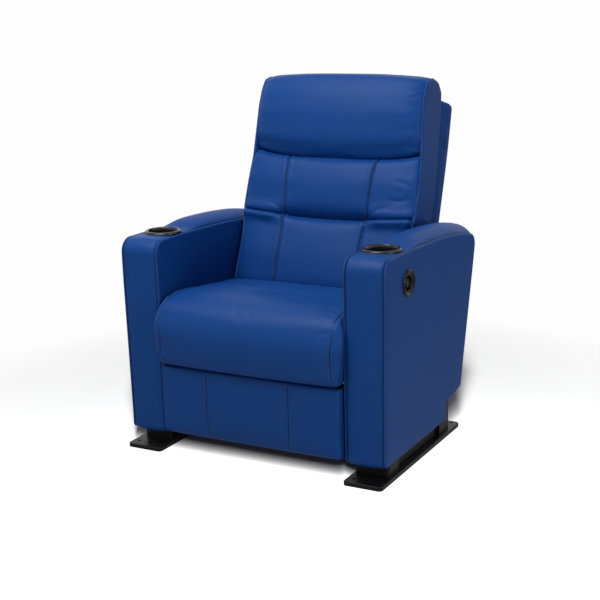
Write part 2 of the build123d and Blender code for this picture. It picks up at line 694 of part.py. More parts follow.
def release_cable():
    """A sheathed cable from the collar, down inside the arm and out to the base plate."""
    top = BEZEL_Z - COLLAR_RADIUS - SOFT_GAP
    drop = top - CABLE_EXIT_Z
    route = [(ARM_OUTER - x, BEZEL_Y + y, top - share * drop) for share, x, y in CABLE_ROUTE]
    route.append((CAVITY_LOW + CABLE_TURN_IN, CABLE_EXIT_Y, CABLE_EXIT_Z))
    route.append((layer_high(BASE_LAYER) + SOFT_GAP, CABLE_EXIT_Y, CABLE_EXIT_Z))
    runs = [Vector(*end) - Vector(*start) for start, end in zip(route, route[1:])]
    radii = []
    for before, after in zip(runs, runs[1:]):
        half_turn = math.radians(before.get_angle(after) / 2)
        radii.append(CABLE_BEND_SHARE * min(before.length, after.length) / math.tan(half_turn))
    print("cable radii", [round(radius) for radius in radii])
    path = FilletPolyline(*route, radius=radii)
    profile = Plane(origin=path @ 0, z_dir=path % 0) * Circle(CABLE_RADIUS)
    cable = sweep(profile, path=path)
    section = math.pi * CABLE_RADIUS**2
    print("cable volume over section times length", round(cable.volume / (section * path.length), 4))
    return cable


# ---- Mechanism on the base ---------------------------------------------------------------------------
def base_plate():
    """A plate that carries the swing links, with two feet on the cross tubes."""
    over_rear_tube = REAR_TUBE_Y + TUBE_SIDE + FOOT_TAB_OVERHANG
    rear = max(REAR_SWING_Y + BASE_PLATE_OVERHANG, over_rear_tube)
    outline = polygon(
        (BASE_PLATE_FRONT, BASE_PLATE_BOTTOM),
        (rear, BASE_PLATE_BOTTOM),
        (rear, BASE_PLATE_TOP),
        (BASE_PLATE_FRONT, BASE_PLATE_TOP),
    )
    tube_top = TUBE_BOTTOM + TUBE_SIDE
    feet = []
    for tube_y in (FRONT_TUBE_Y, REAR_TUBE_Y):
        low = tube_y - FOOT_TAB_OVERHANG
        high = tube_y + TUBE_SIDE + FOOT_TAB_OVERHANG
        outline += polygon((low, tube_top), (high, tube_top), (high, BASE_PLATE_TOP), (low, BASE_PLATE_TOP))
        reach = (layer_high(BASE_LAYER) - FOOT_TAB_DEPTH, layer_high(BASE_LAYER))
        feet.append(block(reach, (low, high), (tube_top, tube_top + PLATE)))
    outline -= discs((FRONT_SWING_LOW, REAR_SWING_LOW), HOLE_RADIUS)
    return layer_plate(outline, BASE_LAYER) + feet


def seat_side_plate():
    """The moving seat's side plate, with an inward flange under the seat rail."""
    rear = HINGE[0] + HINGE_EYE_RADIUS
    outline = polygon(
        (SEAT_PLATE_FRONT, SEAT_PLATE_TOP),
        (SEAT_PLATE_FRONT, GUIDE_TOP[1] - HINGE_EYE_RADIUS),
        (DRIVE_TOP[0] - HINGE_EYE_RADIUS, SEAT_PLATE_BOTTOM),
        (rear, SEAT_PLATE_BOTTOM),
        (rear, SEAT_PLATE_TOP),
    )
    outline -= discs((DRIVE_TOP, GUIDE_TOP, FRONT_SWING_HIGH, REAR_SWING_HIGH, HINGE), HOLE_RADIUS)
    flange_reach = (layer_high(SEAT_LAYER) - SEAT_FLANGE_DEPTH, layer_high(SEAT_LAYER))
    flange = block(flange_reach, (SEAT_PLATE_FRONT, SEAT_DEPTH), (SEAT_PLATE_TOP, SEAT_RAIL_BOTTOM))
    return layer_plate(outline, SEAT_LAYER) + flange


# ---- Seat frame and cushion --------------------------------------------------------------------------
def seat_rails():
    """The left side rail, the front rail and the rear rail, and the half width between the side rails."""
    high = layer_high(SEAT_LAYER) - LAYER_GAP
    low = high - SEAT_RAIL_WIDTH
    front_face = FRONT_RAIL_Y + CROSS_RAIL_DEPTH
    rear_face = SEAT_DEPTH - REAR_RAIL_INSET
    level = (SEAT_RAIL_BOTTOM, SEAT_RAIL_TOP)
    side = block((low, high), (front_face, rear_face), level)
    front_height = (SEAT_RAIL_BOTTOM - FRONT_RAIL_DROP, SEAT_RAIL_TOP)
    front = block((-high, high), (FRONT_RAIL_Y, front_face), front_height)
    rear = block((-low, low), (rear_face - CROSS_RAIL_DEPTH, rear_face), level)
    return side, front, rear, low


def seat_springs(inner_half):
    """Sinuous springs from the front rail to the rear rail."""
    start = FRONT_RAIL_Y + CROSS_RAIL_DEPTH
    end = SEAT_DEPTH - REAR_RAIL_INSET - CROSS_RAIL_DEPTH
    spacing = 2 * inner_half / SEAT_SPRING_COUNT
    spring = sinuous_spring(end - start)
    z = SEAT_RAIL_TOP - SINUOUS_DROP
    places = [(index - (SEAT_SPRING_COUNT - 1) / 2) * spacing for index in range(SEAT_SPRING_COUNT)]
    return Compound([(Pos(x, start, z) * spring).solids()[0] for x in places])


def drawn_side(low_corner, high_corner):
    """A side that pulls in between its two corners, as an arc."""
    middle = ((low_corner[0] + high_corner[0]) / 2, (low_corner[1] + high_corner[1]) / 2)
    draw = min(SIDE_DRAW, SIDE_DRAW_SHARE * math.dist(low_corner, high_corner))
    inward = -draw if middle[0] > 0 else draw
    return ThreePointArc(low_corner, (middle[0] + inward, middle[1]), high_corner)


def seat_section(y, bottom, edge, crown, half):
    """A section of the seat cushion across its width: flat under, drawn-in sides, crowned top."""
    low_half = half - SIDE_DRAW
    outline = (
        Line((-low_half, bottom), (low_half, bottom))
        + drawn_side((low_half, bottom), (half, edge))
        + ThreePointArc((half, edge), (0, edge + crown), (-half, edge))
        + drawn_side((-half, edge), (-low_half, bottom))
    )
    return Plane(origin=(0, y, 0), x_dir=(1, 0, 0), z_dir=(0, -1, 0)) * make_face(outline)


def seat_cushion():
    """The seat cushion: a deep roll over the front rail and a crowned top that falls to the rear."""
    between = ARM_INNER - CUSHION_PLAY
    step_y = FRONT_RAIL_Y - SOFT_GAP
    top_edge = SEAT_HEIGHT - SEAT_FORM[0][1]
    roll = [
        seat_section(y, bottom, SEAT_HEIGHT - below, crown, ARM_INNER + past)
        for y, bottom, below, crown, past in ROLL_FORM
    ]
    for y in (-ROLL_REAR_PLAY, step_y):
        roll.append(seat_section(y, ROLL_BOTTOM, top_edge, SEAT_FORM[0][2], between))
    body = [seat_section(step_y, CUSHION_BOTTOM, top_edge, SEAT_FORM[0][2], between)]
    for share, below, crown in SEAT_FORM:
        y = share * SEAT_DEPTH
        body.append(seat_section(y, CUSHION_BOTTOM, SEAT_HEIGHT - below, crown, between))
    return loft(roll, ruled=True) + loft(body, ruled=True)


# ---- Footrest ----------------------------------------------------------------------------------------
def footrest_half(share):
    """Half width of the footrest panel at a share of its height."""
    return ARM_INNER - FOOTREST_BOTTOM_INSET + share * (FOOTREST_BOTTOM_INSET - FOOTREST_TOP_INSET)


def quilted_section(rear, edge, crown, half, seam):
    """A cushion section with a straight rear, drawn-in sides and three crowned fields at the front."""
    valley = edge - crown + SEAM_VALLEY * crown / (crown + SEAM_VALLEY)
    side_x = (half + seam) / 2
    side_front = (edge + valley) / 2 - crown / 3
    outline = (
        Line((-half, rear), (half, rear))
        + drawn_side((half, rear), (half, edge))
        + ThreePointArc((half, edge), (side_x, side_front), (seam, valley))
        + ThreePointArc((seam, valley), (0, edge - crown), (-seam, valley))
        + ThreePointArc((-seam, valley), (-side_x, side_front), (-half, edge))
        + drawn_side((-half, edge), (-half, rear))
    )
    return make_face(outline)


def footrest_pad():
    """The padded footrest panel, in three fields between two seams."""
    height = FOOTREST_TOP - FOOTREST_BOTTOM
    sections = []
    for share, edge, crown in FOOTREST_FORM:
        rear = -FOOTBOARD_THICKNESS - SOFT_GAP
        section = quilted_section(rear, edge, crown, footrest_half(share), FOOTREST_SEAM_X)
        sections.append(Plane.XY.offset(FOOTREST_BOTTOM + share * height) * section)
    return loft(sections, ruled=True)


def footrest_board():
    half = footrest_half(0) - FOOTBOARD_MARGIN
    height = (FOOTREST_BOTTOM + FOOTBOARD_MARGIN, FOOTREST_TOP - FOOTBOARD_MARGIN)
    board = block((-half, half), (-FOOTBOARD_THICKNESS, 0), height)
    return fillet(board.edges().filter_by(Axis.Y), FOOTBOARD_MARGIN)


def footrest_bracket():
    """An angle bracket on the board's rear face, with the two pivots of the panel."""
    outline = polygon(
        (0, BRACKET_LOW),
        (FORE_END[0], FORE_END[1] - BRACKET_EYE_RADIUS),
        CONTROL_END,
        (CONTROL_END[0], CONTROL_END[1] + EYE_RADIUS),
        (0, BRACKET_HIGH),
    )
    outline += discs((FORE_END,), BRACKET_EYE_RADIUS) + discs((CONTROL_END,), EYE_RADIUS)
    outline += bar(FORE_END, CONTROL_END)
    outline -= discs((FORE_END, CONTROL_END), HOLE_RADIUS)
    reach = (layer_high(BRACKET_LAYER) - BRACKET_FLANGE, layer_high(BRACKET_LAYER))
    flange = block(reach, (0, PLATE), (BRACKET_LOW, BRACKET_HIGH))
    return layer_plate(outline, BRACKET_LAYER) + flange


def drive_tube():
    half = layer_low(DRIVE_LAYER)
    spot = Pos(*DRIVE_TUBE)
    ring = spot * Circle(DRIVE_TUBE_RADIUS) - spot * Circle(DRIVE_TUBE_RADIUS - DRIVE_TUBE_WALL)
    return slab(ring, -half, half)


# ---- Back --------------------------------------------------------------------------------------------
BACK = Pos(0, *HINGE) * Rot(-BACK_LEAN, 0, 0)


def back_bracket():
    """A plate from the hinge up along the outer face of an upright."""
    rear = FRAME_FRONT + UPRIGHT_DEPTH
    foot = polygon(
        along((0, 0), BRACKET_FRONT_ANGLE, BRACKET_EYE),
        (FRAME_FRONT, BRACKET_FOOT),
        (FRAME_FRONT, BRACKET_TOP),
        (rear, BRACKET_TOP),
        (rear, BRACKET_HEEL),
        along((0, 0), BRACKET_REAR_ANGLE, BRACKET_EYE),
        (0, 0),
    )
    outline = foot + Circle(BRACKET_EYE) - Circle(HOLE_RADIUS)
    return BACK * layer_plate(outline, DRIVE_LAYER)


def back_upright():
    high = layer_low(DRIVE_LAYER)
    depth = (FRAME_FRONT, FRAME_FRONT + UPRIGHT_DEPTH)
    return BACK * block((high - UPRIGHT_WIDTH, high), depth, (UPRIGHT_BOTTOM, UPRIGHT_TOP))


def back_rails():
    """Bottom, middle and top cross rails between the uprights."""
    half = layer_low(DRIVE_LAYER) - UPRIGHT_WIDTH
    depth = (FRAME_FRONT, FRAME_FRONT + UPRIGHT_DEPTH)
    bottoms = (UPRIGHT_BOTTOM, MIDDLE_RAIL_BOTTOM, UPRIGHT_TOP - BACK_RAIL_HEIGHT)
    rails = [block((-half, half), depth, (low, low + BACK_RAIL_HEIGHT)) for low in bottoms]
    return Compound([(BACK * rail).solids()[0] for rail in rails])


def back_springs():
    """Sinuous springs from the bottom rail to the middle rail."""
    half = layer_low(DRIVE_LAYER) - UPRIGHT_WIDTH
    start = UPRIGHT_BOTTOM + BACK_RAIL_HEIGHT
    spring = sinuous_spring(MIDDLE_RAIL_BOTTOM - start)
    spacing = 2 * half / BACK_SPRING_COUNT
    places = [(index - (BACK_SPRING_COUNT - 1) / 2) * spacing for index in range(BACK_SPRING_COUNT)]
    stand = Pos(0, FRAME_FRONT + SINUOUS_DROP, start) * Rot(90, 0, 0)
    return Compound([(BACK * Pos(x, 0, 0) * stand * spring).solids()[0] for x in places])


def back_chamber(bottom, top, form, seam=None):
    """One crowned cushion of the back, lofted up along it from its form's rows."""
    sections = []
    for row in form:
        share, edge_depth, crown = row[:3]
        rear = FRAME_FRONT - SOFT_GAP - (row[3] if len(row) > 3 else 0)
        half = CUSHION_HALF - SIDE_DRAW * (2 * share - 1) ** 4
        if seam:
            section = quilted_section(rear, -edge_depth, crown, half, seam)
        else:
            section = plain_section(rear, -edge_depth, crown, half)
        sections.append(Plane.XY.offset(bottom + share * (top - bottom)) * section)
    return BACK * loft(sections, ruled=True)


def plain_section(rear, edge, crown, half):
    """A cushion section with a straight rear, drawn-in sides and one crowned front."""
    outline = (
        Line((-half, rear), (half, rear))
        + drawn_side((half, rear), (half, edge))
        + ThreePointArc((half, edge), (0, edge - crown), (-half, edge))
        + drawn_side((-half, edge), (-half, rear))
    )
    return make_face(outline)


def shell_outline(inset):
    """The shell's plan across the back: a narrowed rim, straight sides and rounded rear corners."""
    half = SHELL_HALF - inset
    rim_half = SHELL_HALF - SHELL_RIM_INSET - inset / 2
    rim_end = FRAME_FRONT + SHELL_RIM_DEPTH
    rear = SHELL_REAR - inset
    outline = polygon(
        (-rim_half, FRAME_FRONT),
        (rim_half, FRAME_FRONT),
        (half, rim_end),
        (half, rear),
        (-half, rear),
        (-half, rim_end),
    )
    corners = outline.vertices().group_by(Axis.Y)[-1]
    return fillet(corners, SHELL_CORNER - inset)


def back_shell():
    """The padded outer back: a tray, open to the front, that closes the frame from behind."""
    outer = extrude(Plane.XY.offset(SHELL_BOTTOM) * shell_outline(0), amount=SHELL_TOP - SHELL_BOTTOM)
    top_edges = outer.faces().sort_by(Axis.Z)[-1].edges().sort_by(Axis.Y)
    outer = fillet(top_edges[-3:], SHELL_TOP_ROUND)
    inner_plane = Plane.XY.offset(SHELL_BOTTOM + SHELL_WALL)
    inner_height = SHELL_TOP - SHELL_BOTTOM - 2 * SHELL_WALL
    return BACK * (outer - extrude(inner_plane * shell_outline(SHELL_WALL), amount=inner_height))


# ---- Write every piece -------------------------------------------------------------------------------
def write_base():
    save_sides("floor_plate", floor_plate())
    save_sides("front_leg", front_leg())
    save_sides("rear_leg", rear_leg())
    save_sides("side_rail", side_rail())
    save("front_cross_tube", cross_tube(FRONT_TUBE_Y, RAIL_LOW))
    save("rear_cross_tube", cross_tube(REAR_TUBE_Y, LEG_LOW))
    save_both("leg_bolts", Compound([leg_bolt(spot).solids()[0] for spot in leg_bolt_spots()]))
    save_sides("base_plate", base_plate())
    pins = [rivet(point, BASE_LAYER, SWING_LAYER).solids()[0] for point in (FRONT_SWING_LOW, REAR_SWING_LOW)]
    save_both("base_pins", Compound(pins))


def write_arms():
    inner = arm_panel(ARM_INNER, -1)
    outer = arm_panel(ARM_OUTER - PANEL_THICKNESS, 1)
    save("left_arm_inner_panel", inner - cable_space())
    save("right_arm_inner_panel", mirrored(inner))
    save("left_arm_outer_panel", outer - collar_space())
    save("right_arm_outer_panel", mirrored(outer))
    save_sides("arm_border", arm_border())
    save("left_arm_frame", arm_frame(released=True))
    save("right_arm_frame", mirrored(arm_frame(released=False)))
    save_sides("cup_holder", cup_holder())


def write_release():
    save("handle_bezel", handle_bezel())
    save("handle_paddle", handle_paddle())
    save("handle_pin", handle_pin())
    save("handle_spring", handle_spring())
    save("release_cable", release_cable())


def write_seat():
    save_both("front_swing_links", link(SWING_LAYER, FRONT_SWING_LOW, FRONT_SWING_HIGH))
    save_both("rear_swing_links", link(SWING_LAYER, REAR_SWING_LOW, REAR_SWING_HIGH))
    save_sides("seat_side_plate", seat_side_plate())
    pins = [rivet(point, SWING_LAYER, SEAT_LAYER) for point in (FRONT_SWING_HIGH, REAR_SWING_HIGH)]
    pins += [rivet(point, SEAT_LAYER, DRIVE_LAYER) for point in (DRIVE_TOP, GUIDE_TOP, HINGE)]
    save_both("seat_pins", Compound([pin.solids()[0] for pin in pins]))
    side, front, rear, inner_half = seat_rails()
    save_sides("seat_side_rail", side)
    save("seat_front_rail", front)
    save("seat_rear_rail", rear)
    save("seat_springs", seat_springs(inner_half))
    save("seat_cushion", seat_cushion())


def write_footrest():
    save_both("drive_links", link(DRIVE_LAYER, DRIVE_TOP, CONTROL_START, DRIVE_END))
    save("drive_tube", drive_tube())
    pins = [rivet(point, DRIVE_LAYER, FORE_LAYER) for point in (DRIVE_END, CONTROL_START)]
    save_both("drive_link_pins", Compound([pin.solids()[0] for pin in pins]))
    save_both("guide_links", link(DRIVE_LAYER, GUIDE_TOP, GUIDE_END))
    save_both("fore_links", link(FORE_LAYER, DRIVE_END, GUIDE_END, FORE_END))
    pins = [rivet(GUIDE_END, DRIVE_LAYER, FORE_LAYER), rivet(FORE_END, FORE_LAYER, BRACKET_LAYER)]
    save_both("fore_link_pins", Compound([pin.solids()[0] for pin in pins]))
    save_both("control_links", link(FORE_LAYER, CONTROL_START, CONTROL_END))
    save_both("footrest_brackets", footrest_bracket())
    save_both("bracket_pins", rivet(CONTROL_END, FORE_LAYER, BRACKET_LAYER))
    save("footrest_board", footrest_board())
    save("footrest_pad", footrest_pad())


def write_back():
    save_both("back_brackets", back_bracket())
    save_both("back_uprights", back_upright())
    save("back_rails", back_rails())
    save("back_springs", back_springs())
    save("lower_back_cushion", back_chamber(LOWER_BOTTOM, TUCK, LOWER_FORM, BACK_SEAM_X))
    save("middle_back_cushion", back_chamber(TUCK + CHAMBER_GAP, FOLD, MIDDLE_FORM, BACK_SEAM_X))
    save("headrest_pillow", back_chamber(FOLD + CHAMBER_GAP, BACK_LENGTH, PILLOW_FORM))
    save("back_shell", back_shell())


write_base()
write_arms()
write_release()
write_seat()
write_footrest()
write_back()
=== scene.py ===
"""Looks of the cinema recliner seat: leather covers, stitching, cup holders, release and stage.

Metres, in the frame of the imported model. Points of the seat, the arms and the footrest count y from
the front plane of the arms. Points of the back are (x, n, u), with n rearward and u up along it.
"""

import json
import math

import bmesh
import bpy
import numpy as np
from mathutils import Matrix, Vector, kdtree
from mathutils.bvhtree import BVHTree
from mathutils.geometry import delaunay_2d_cdt

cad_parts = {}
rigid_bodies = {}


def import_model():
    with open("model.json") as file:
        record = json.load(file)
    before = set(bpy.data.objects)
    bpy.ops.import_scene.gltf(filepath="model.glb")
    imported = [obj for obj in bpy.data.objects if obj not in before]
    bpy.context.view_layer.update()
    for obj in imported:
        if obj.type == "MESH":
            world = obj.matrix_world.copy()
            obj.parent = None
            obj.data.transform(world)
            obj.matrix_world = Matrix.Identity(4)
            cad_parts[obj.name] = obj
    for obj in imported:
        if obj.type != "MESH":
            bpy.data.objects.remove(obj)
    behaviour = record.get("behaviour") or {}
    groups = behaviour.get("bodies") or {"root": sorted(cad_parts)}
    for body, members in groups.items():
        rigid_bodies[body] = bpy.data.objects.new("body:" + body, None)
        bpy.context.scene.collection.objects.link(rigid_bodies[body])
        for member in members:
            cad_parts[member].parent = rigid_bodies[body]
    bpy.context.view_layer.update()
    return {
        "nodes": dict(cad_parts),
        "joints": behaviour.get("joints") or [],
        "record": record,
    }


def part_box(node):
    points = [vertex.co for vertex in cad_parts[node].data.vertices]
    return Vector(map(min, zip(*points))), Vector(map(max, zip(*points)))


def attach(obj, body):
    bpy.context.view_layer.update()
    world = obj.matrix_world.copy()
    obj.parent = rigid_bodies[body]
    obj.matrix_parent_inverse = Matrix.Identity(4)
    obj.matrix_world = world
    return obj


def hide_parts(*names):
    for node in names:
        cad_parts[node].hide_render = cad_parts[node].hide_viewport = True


for thing in list(bpy.data.objects):
    bpy.data.objects.remove(thing)
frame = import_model()

bl_info = {
    "name": "Cinema recliner looks",
    "version": (1, 0, 0),
    "blender": (4, 5, 0),
    "location": "View3D > Sidebar > Recliner",
    "description": "Builds the leather, stitching, fittings and stage of a cinema recliner seat",
    "category": "Object",
}

# ---- Places taken from the frame ---------------------------------------------------------------------
FRONT_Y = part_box("left_arm_border")[0].y
ARM_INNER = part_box("left_arm_inner_panel")[0].x
ARM_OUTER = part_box("left_arm_outer_panel")[1].x
ARM_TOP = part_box("left_arm_border")[1].z
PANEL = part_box("left_arm_inner_panel")[1].x - ARM_INNER
HINGE = next(Vector(j["pos_m"]) for j in frame["joints"] if j["name"] == "back_recline")
LEAN = math.radians(20.0)  # of the back at rest


def box_middle(node):
    """The middle of a node's box."""
    low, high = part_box(node)
    return (low + high) / 2


BEZEL_MIDDLE = box_middle("handle_bezel")[1:]

# ---- Places of the covers ----------------------------------------------------------------------------
CUP_REAR = 0.208  # behind it the arms' tops are plump
CUP_HOLE, BEZEL_HOLE = 0.0425, 0.0318  # radii of the holes in the arms' covers
SEAT_HALF = 0.2915  # half the width of the seat cushion and of the footrest
FOOT_SEAM = 0.134  # middle of the footrest to its upright seams
BACK_SEAM = 0.2785  # middle of the back to the seams along its sides
QUILT = 0.138  # middle of the back to its upright seams
TUCK, FOLD = 0.338, 0.536  # heights u where the back's cushions meet


def spots(x, y, z):
    """Points from their coordinates, each of which is one number or many."""
    return np.column_stack(np.broadcast_arrays(x, y, z))


def seat_place(points):
    """Points with y from the arms' front plane, in the frame."""
    return np.asarray(points, float) + np.array([0, FRONT_Y, 0])


def back_place(points):
    """Points (x, n, u) of the back, in the frame."""
    x, n, u = np.asarray(points, float).T
    y = HINGE.y + n * math.cos(LEAN) + u * math.sin(LEAN)
    z = HINGE.z - n * math.sin(LEAN) + u * math.cos(LEAN)
    return spots(x, y, z)


def back_local(points):
    """Points of the frame as (x, n, u) of the back."""
    x, y, z = np.asarray(points, float).T
    dy, dz = y - HINGE.y, z - HINGE.z
    n = dy * math.cos(LEAN) - dz * math.sin(LEAN)
    u = dy * math.sin(LEAN) + dz * math.cos(LEAN)
    return spots(x, n, u)


# ---- Sizes and colours that a user would change ------------------------------------------------------
class ReclinerLeather(bpy.types.PropertyGroup):
    colour: bpy.props.FloatVectorProperty(
        name="Leather", description="Base colour of the leather", subtype="COLOR",
        size=3, min=0, max=1, default=(0.0040, 0.0525, 0.235))
    grain: bpy.props.FloatProperty(
        name="Grain", description="Width of one pebble of the grain", unit="LENGTH",
        default=0.0016, min=0.0004, max=0.006)
    roughness: bpy.props.FloatProperty(
        name="Roughness", description="Roughness of the finished leather", default=0.44, min=0.1, max=1)
    thread: bpy.props.FloatVectorProperty(
        name="Thread", description="Colour of the stitching", subtype="COLOR",
        size=3, min=0, max=1, default=(0.006, 0.042, 0.165))


class ReclinerStitching(bpy.types.PropertyGroup):
    pitch: bpy.props.FloatProperty(
        name="Pitch", description="Distance from stitch to stitch", unit="LENGTH",
        default=0.0048, min=0.002)
    length: bpy.props.FloatProperty(
        name="Length", description="Length of one stitch", unit="LENGTH", default=0.0037, min=0.001)
    thickness: bpy.props.FloatProperty(
        name="Thickness", description="Thickness of the thread", unit="LENGTH",
        default=0.0013, min=0.0003)
    spread: bpy.props.FloatProperty(
        name="Spread", description="Seam to each row beside it", unit="LENGTH",
        default=0.0048, min=0.001)
    seed: bpy.props.IntProperty(name="Seed", description="Seed of the stitches' small turns", default=7)


class ReclinerPadding(bpy.types.PropertyGroup):
    voxel: bpy.props.FloatProperty(
        name="Mesh", description="Mesh width of the padded pieces", unit="LENGTH",
        default=0.0058, min=0.003)
    pressure: bpy.props.FloatProperty(
        name="Pressure", description="Pressure that swells the padding", default=4.0, min=0, max=20)
    cap: bpy.props.FloatProperty(
        name="Cap", description="How far a point may swell", unit="LENGTH", default=0.024, min=0.001)
    crown: bpy.props.FloatProperty(
        name="Crown", description="Scale of the cushions' crowns", default=1.0, min=0.3, max=1.6)


class ReclinerStage(bpy.types.PropertyGroup):
    lens: bpy.props.FloatProperty(
        name="Lens", description="Focal length of the camera", unit="CAMERA",
        default=74.5, min=20, max=200)
    key: bpy.props.FloatProperty(
        name="Key light", description="Power of the large light overhead", unit="POWER",
        default=79.0, min=0)
    front: bpy.props.FloatProperty(
        name="Front light", description="Power of the light before the seat", unit="POWER",
        default=3.5, min=0)
    fill: bpy.props.FloatProperty(
        name="Side light", description="Power of the light at the seat's left", unit="POWER",
        default=26.0, min=0)
    floor: bpy.props.FloatProperty(
        name="Floor light", description="Power of the light that falls on the floor alone",
        unit="POWER", default=600.0, min=0)
    world: bpy.props.FloatProperty(
        name="Room light", description="Strength of the even light all round", default=0.10, min=0)


# ---- Shader maths ------------------------------------------------------------------------------------
class Wire:
    """The output of a shader node. Arithmetic on it adds Math nodes; node() adds any other."""

    def __init__(self, tree, socket=None):
        self.tree = tree
        self.socket = socket

    def node(self, kind, settings=None, inputs=None, output=0):
        node = self.tree.nodes.new(kind)
        for name, value in (settings or {}).items():
            if name == "stops":
                self._set_stops(node.color_ramp, value)
            else:
                setattr(node, name, value)
        for key, value in (inputs or {}).items():
            if isinstance(value, Wire):
                self.tree.links.new(value.socket, node.inputs[key])
            else:
                node.inputs[key].default_value = value
        return Wire(self.tree, node.outputs[output] if node.outputs else None)

    @staticmethod
    def _set_stops(ramp, stops):
        while len(ramp.elements) < len(stops):
            ramp.elements.new(0.5)
        for element, (position, value) in zip(ramp.elements, stops):
            element.position = position
            element.color = (value, value, value, 1) if isinstance(value, (int, float)) else value

    def math(self, operation, first, second=0.0, clamp=False):
        settings = {"operation": operation, "use_clamp": clamp}
        return self.node("ShaderNodeMath", settings, {0: first, 1: second})

    def __add__(self, other):
        return self.math("ADD", self, other)

    __radd__ = __add__

    def __sub__(self, other):
        return self.math("SUBTRACT", self, other)

    def __rsub__(self, other):
        return self.math("SUBTRACT", other, self)

    def __mul__(self, other):
        return self.math("MULTIPLY", self, other)

    __rmul__ = __mul__

    def __truediv__(self, other):
        return self.math("DIVIDE", self, other)

    def clamped(self):
        return self.math("ADD", self, 0.0, clamp=True)

    def ramp(self, *stops):
        return self.node("ShaderNodeValToRGB", {"stops": stops}, {0: self})


def start_material(name):
    """An empty material, the wire that adds its nodes, and its coordinates."""
    material = bpy.data.materials.new(name)
    material.use_nodes = True
    material.node_tree.nodes.clear()
    wire = Wire(material.node_tree)
    return material, wire, wire.node("ShaderNodeTexCoord", output="Object")


def end_material(wire, inputs, bumps=()):
    """Add the surface shader. bumps are (height, strength, distance), the coarsest first."""
    normal = None
    for height, strength, distance in bumps:
        settings = {"Height": height, "Strength": strength, "Distance": distance}
        if normal:
            settings["Normal"] = normal
        normal = wire.node("ShaderNodeBump", None, settings)
    if normal:
        inputs = {**inputs, "Normal": normal}
    surface = wire.node("ShaderNodeBsdfPrincipled", None, inputs)
    wire.node("ShaderNodeOutputMaterial", None, {"Surface": surface})


def noise(wire, coords, width, detail=3.0, roughness=0.5, distortion=0.0):
    """Noise whose blobs are about as wide as width, from 0 to 1."""
    values = {"Vector": coords, "Scale": 1 / width, "Detail": detail, "Roughness": roughness,
              "Distortion": distortion}
    return wire.node("ShaderNodeTexNoise", {"noise_dimensions": "3D"}, values)


def cells(wire, coords, width):
    """Distance from the edges of cells about as wide as width."""
    return wire.node("ShaderNodeTexVoronoi", {"feature": "DISTANCE_TO_EDGE"},
                     {"Vector": coords, "Scale": 1 / width})


def mixed(wire, share, first, second):
    """Two colours, or a colour and a wire, mixed by a share."""
    return wire.node("ShaderNodeMix", {"data_type": "RGBA"}, {0: share, 6: first, 7: second}, output=2)


def rgba(colour, gain=1.0):
    return (colour[0] * gain, colour[1] * gain, colour[2] * gain, 1.0)


def leather_material(name, look):
    """Finished leather: pebbled grain, fine pores, soft mottling, painted shade at seams, polished high
    spots.
    """
    material, wire, coords = start_material(name)
    wander = wire.node("ShaderNodeTexNoise", None, {
        "Vector": coords, "Scale": 1 / (look.grain * 2.2), "Detail": 2.0}, output="Color")
    bent = wire.node("ShaderNodeVectorMath", {"operation": "MULTIPLY_ADD"}, {
        0: wander, 1: (look.grain * 0.9,) * 3, 2: coords})
    pebbles = cells(wire, bent, look.grain).ramp((0.0, 0.0), (0.28, 0.85), (0.6, 1.0))
    pores = cells(wire, coords, look.grain * 0.42).ramp((0.0, 0.0), (0.2, 1.0))
    clouds = noise(wire, coords, 0.085, detail=4.0, roughness=0.55)
    mottle = noise(wire, coords, 0.012)
    creases = noise(wire, coords, 0.03, detail=6.0, roughness=0.62, distortion=0.7)
    # The seam attribute holds painted shade along the grooves of the seams.
    seam = wire.node("ShaderNodeAttribute", {"attribute_name": "seam"}, output="Fac")
    shade = (0.20 + 0.45 * clouds + 0.30 * mottle + 0.15 * pebbles).clamped()
    colour = mixed(wire, shade, rgba(look.colour, 0.82), rgba(look.colour, 1.12))
    # Painted shade: the leather darkens towards 0.22 of its colour where the seam attribute is high.
    colour = mixed(wire, (0.85 * seam).clamped(), colour, rgba(look.colour, 0.22))
    gloss = look.roughness + 0.10 * (clouds - 0.5) + 0.08 * (1 - pebbles) + 0.05 * (mottle - 0.5)
    gloss = (gloss + 0.15 * seam).clamped()
    end_material(
        wire, {"Base Color": colour, "Roughness": gloss, "IOR": 1.48, "Specular IOR Level": 0.18},
        [(creases, 0.10, 0.004), (pebbles, 0.16, 0.00022), (pores, 0.10, 0.00008)])
    return material


def thread_material(name, look):
    """Twisted thread with a slight sheen."""
    material, wire, coords = start_material(name)
    ply = wire.node("ShaderNodeTexWave", {"wave_type": "BANDS", "bands_direction": "DIAGONAL"},
                    {"Vector": coords, "Scale": 900.0, "Distortion": 1.0, "Detail": 1.0})
    lint = noise(wire, coords, 0.004)
    shade = (0.35 + 0.4 * lint + 0.25 * ply).clamped()
    colour = mixed(wire, shade, rgba(look.thread, 0.7), rgba(look.thread, 1.3))
    end_material(wire, {"Base Color": colour, "Roughness": 0.62, "Sheen Weight": 0.3},
                 [(ply, 0.3, 0.0001)])
    return material


def plastic_material(name, colour, rough, grain=0.0, shine=0.4):
    """Moulded plastic with faint flow marks, finger smudges and an optional fine texture."""
    material, wire, coords = start_material(name)
    flow = noise(wire, coords, 0.05, detail=2.0, distortion=1.2)
    smudge = noise(wire, coords, 0.014, detail=5.0, roughness=0.65).ramp((0.45, 0.0), (0.75, 1.0))
    sand = noise(wire, coords, 0.0007, detail=2.0)
    tone = mixed(wire, flow, rgba(colour, 0.8), rgba(colour, 1.35))
    gloss = (rough + 0.12 * smudge + 0.04 * (flow - 0.5)).clamped()
    end_material(
        wire, {"Base Color": tone, "Roughness": gloss, "IOR": 1.5, "Specular IOR Level": shine},
        [(flow, 0.04, 0.002), (sand, grain, 0.0001)])
    return material


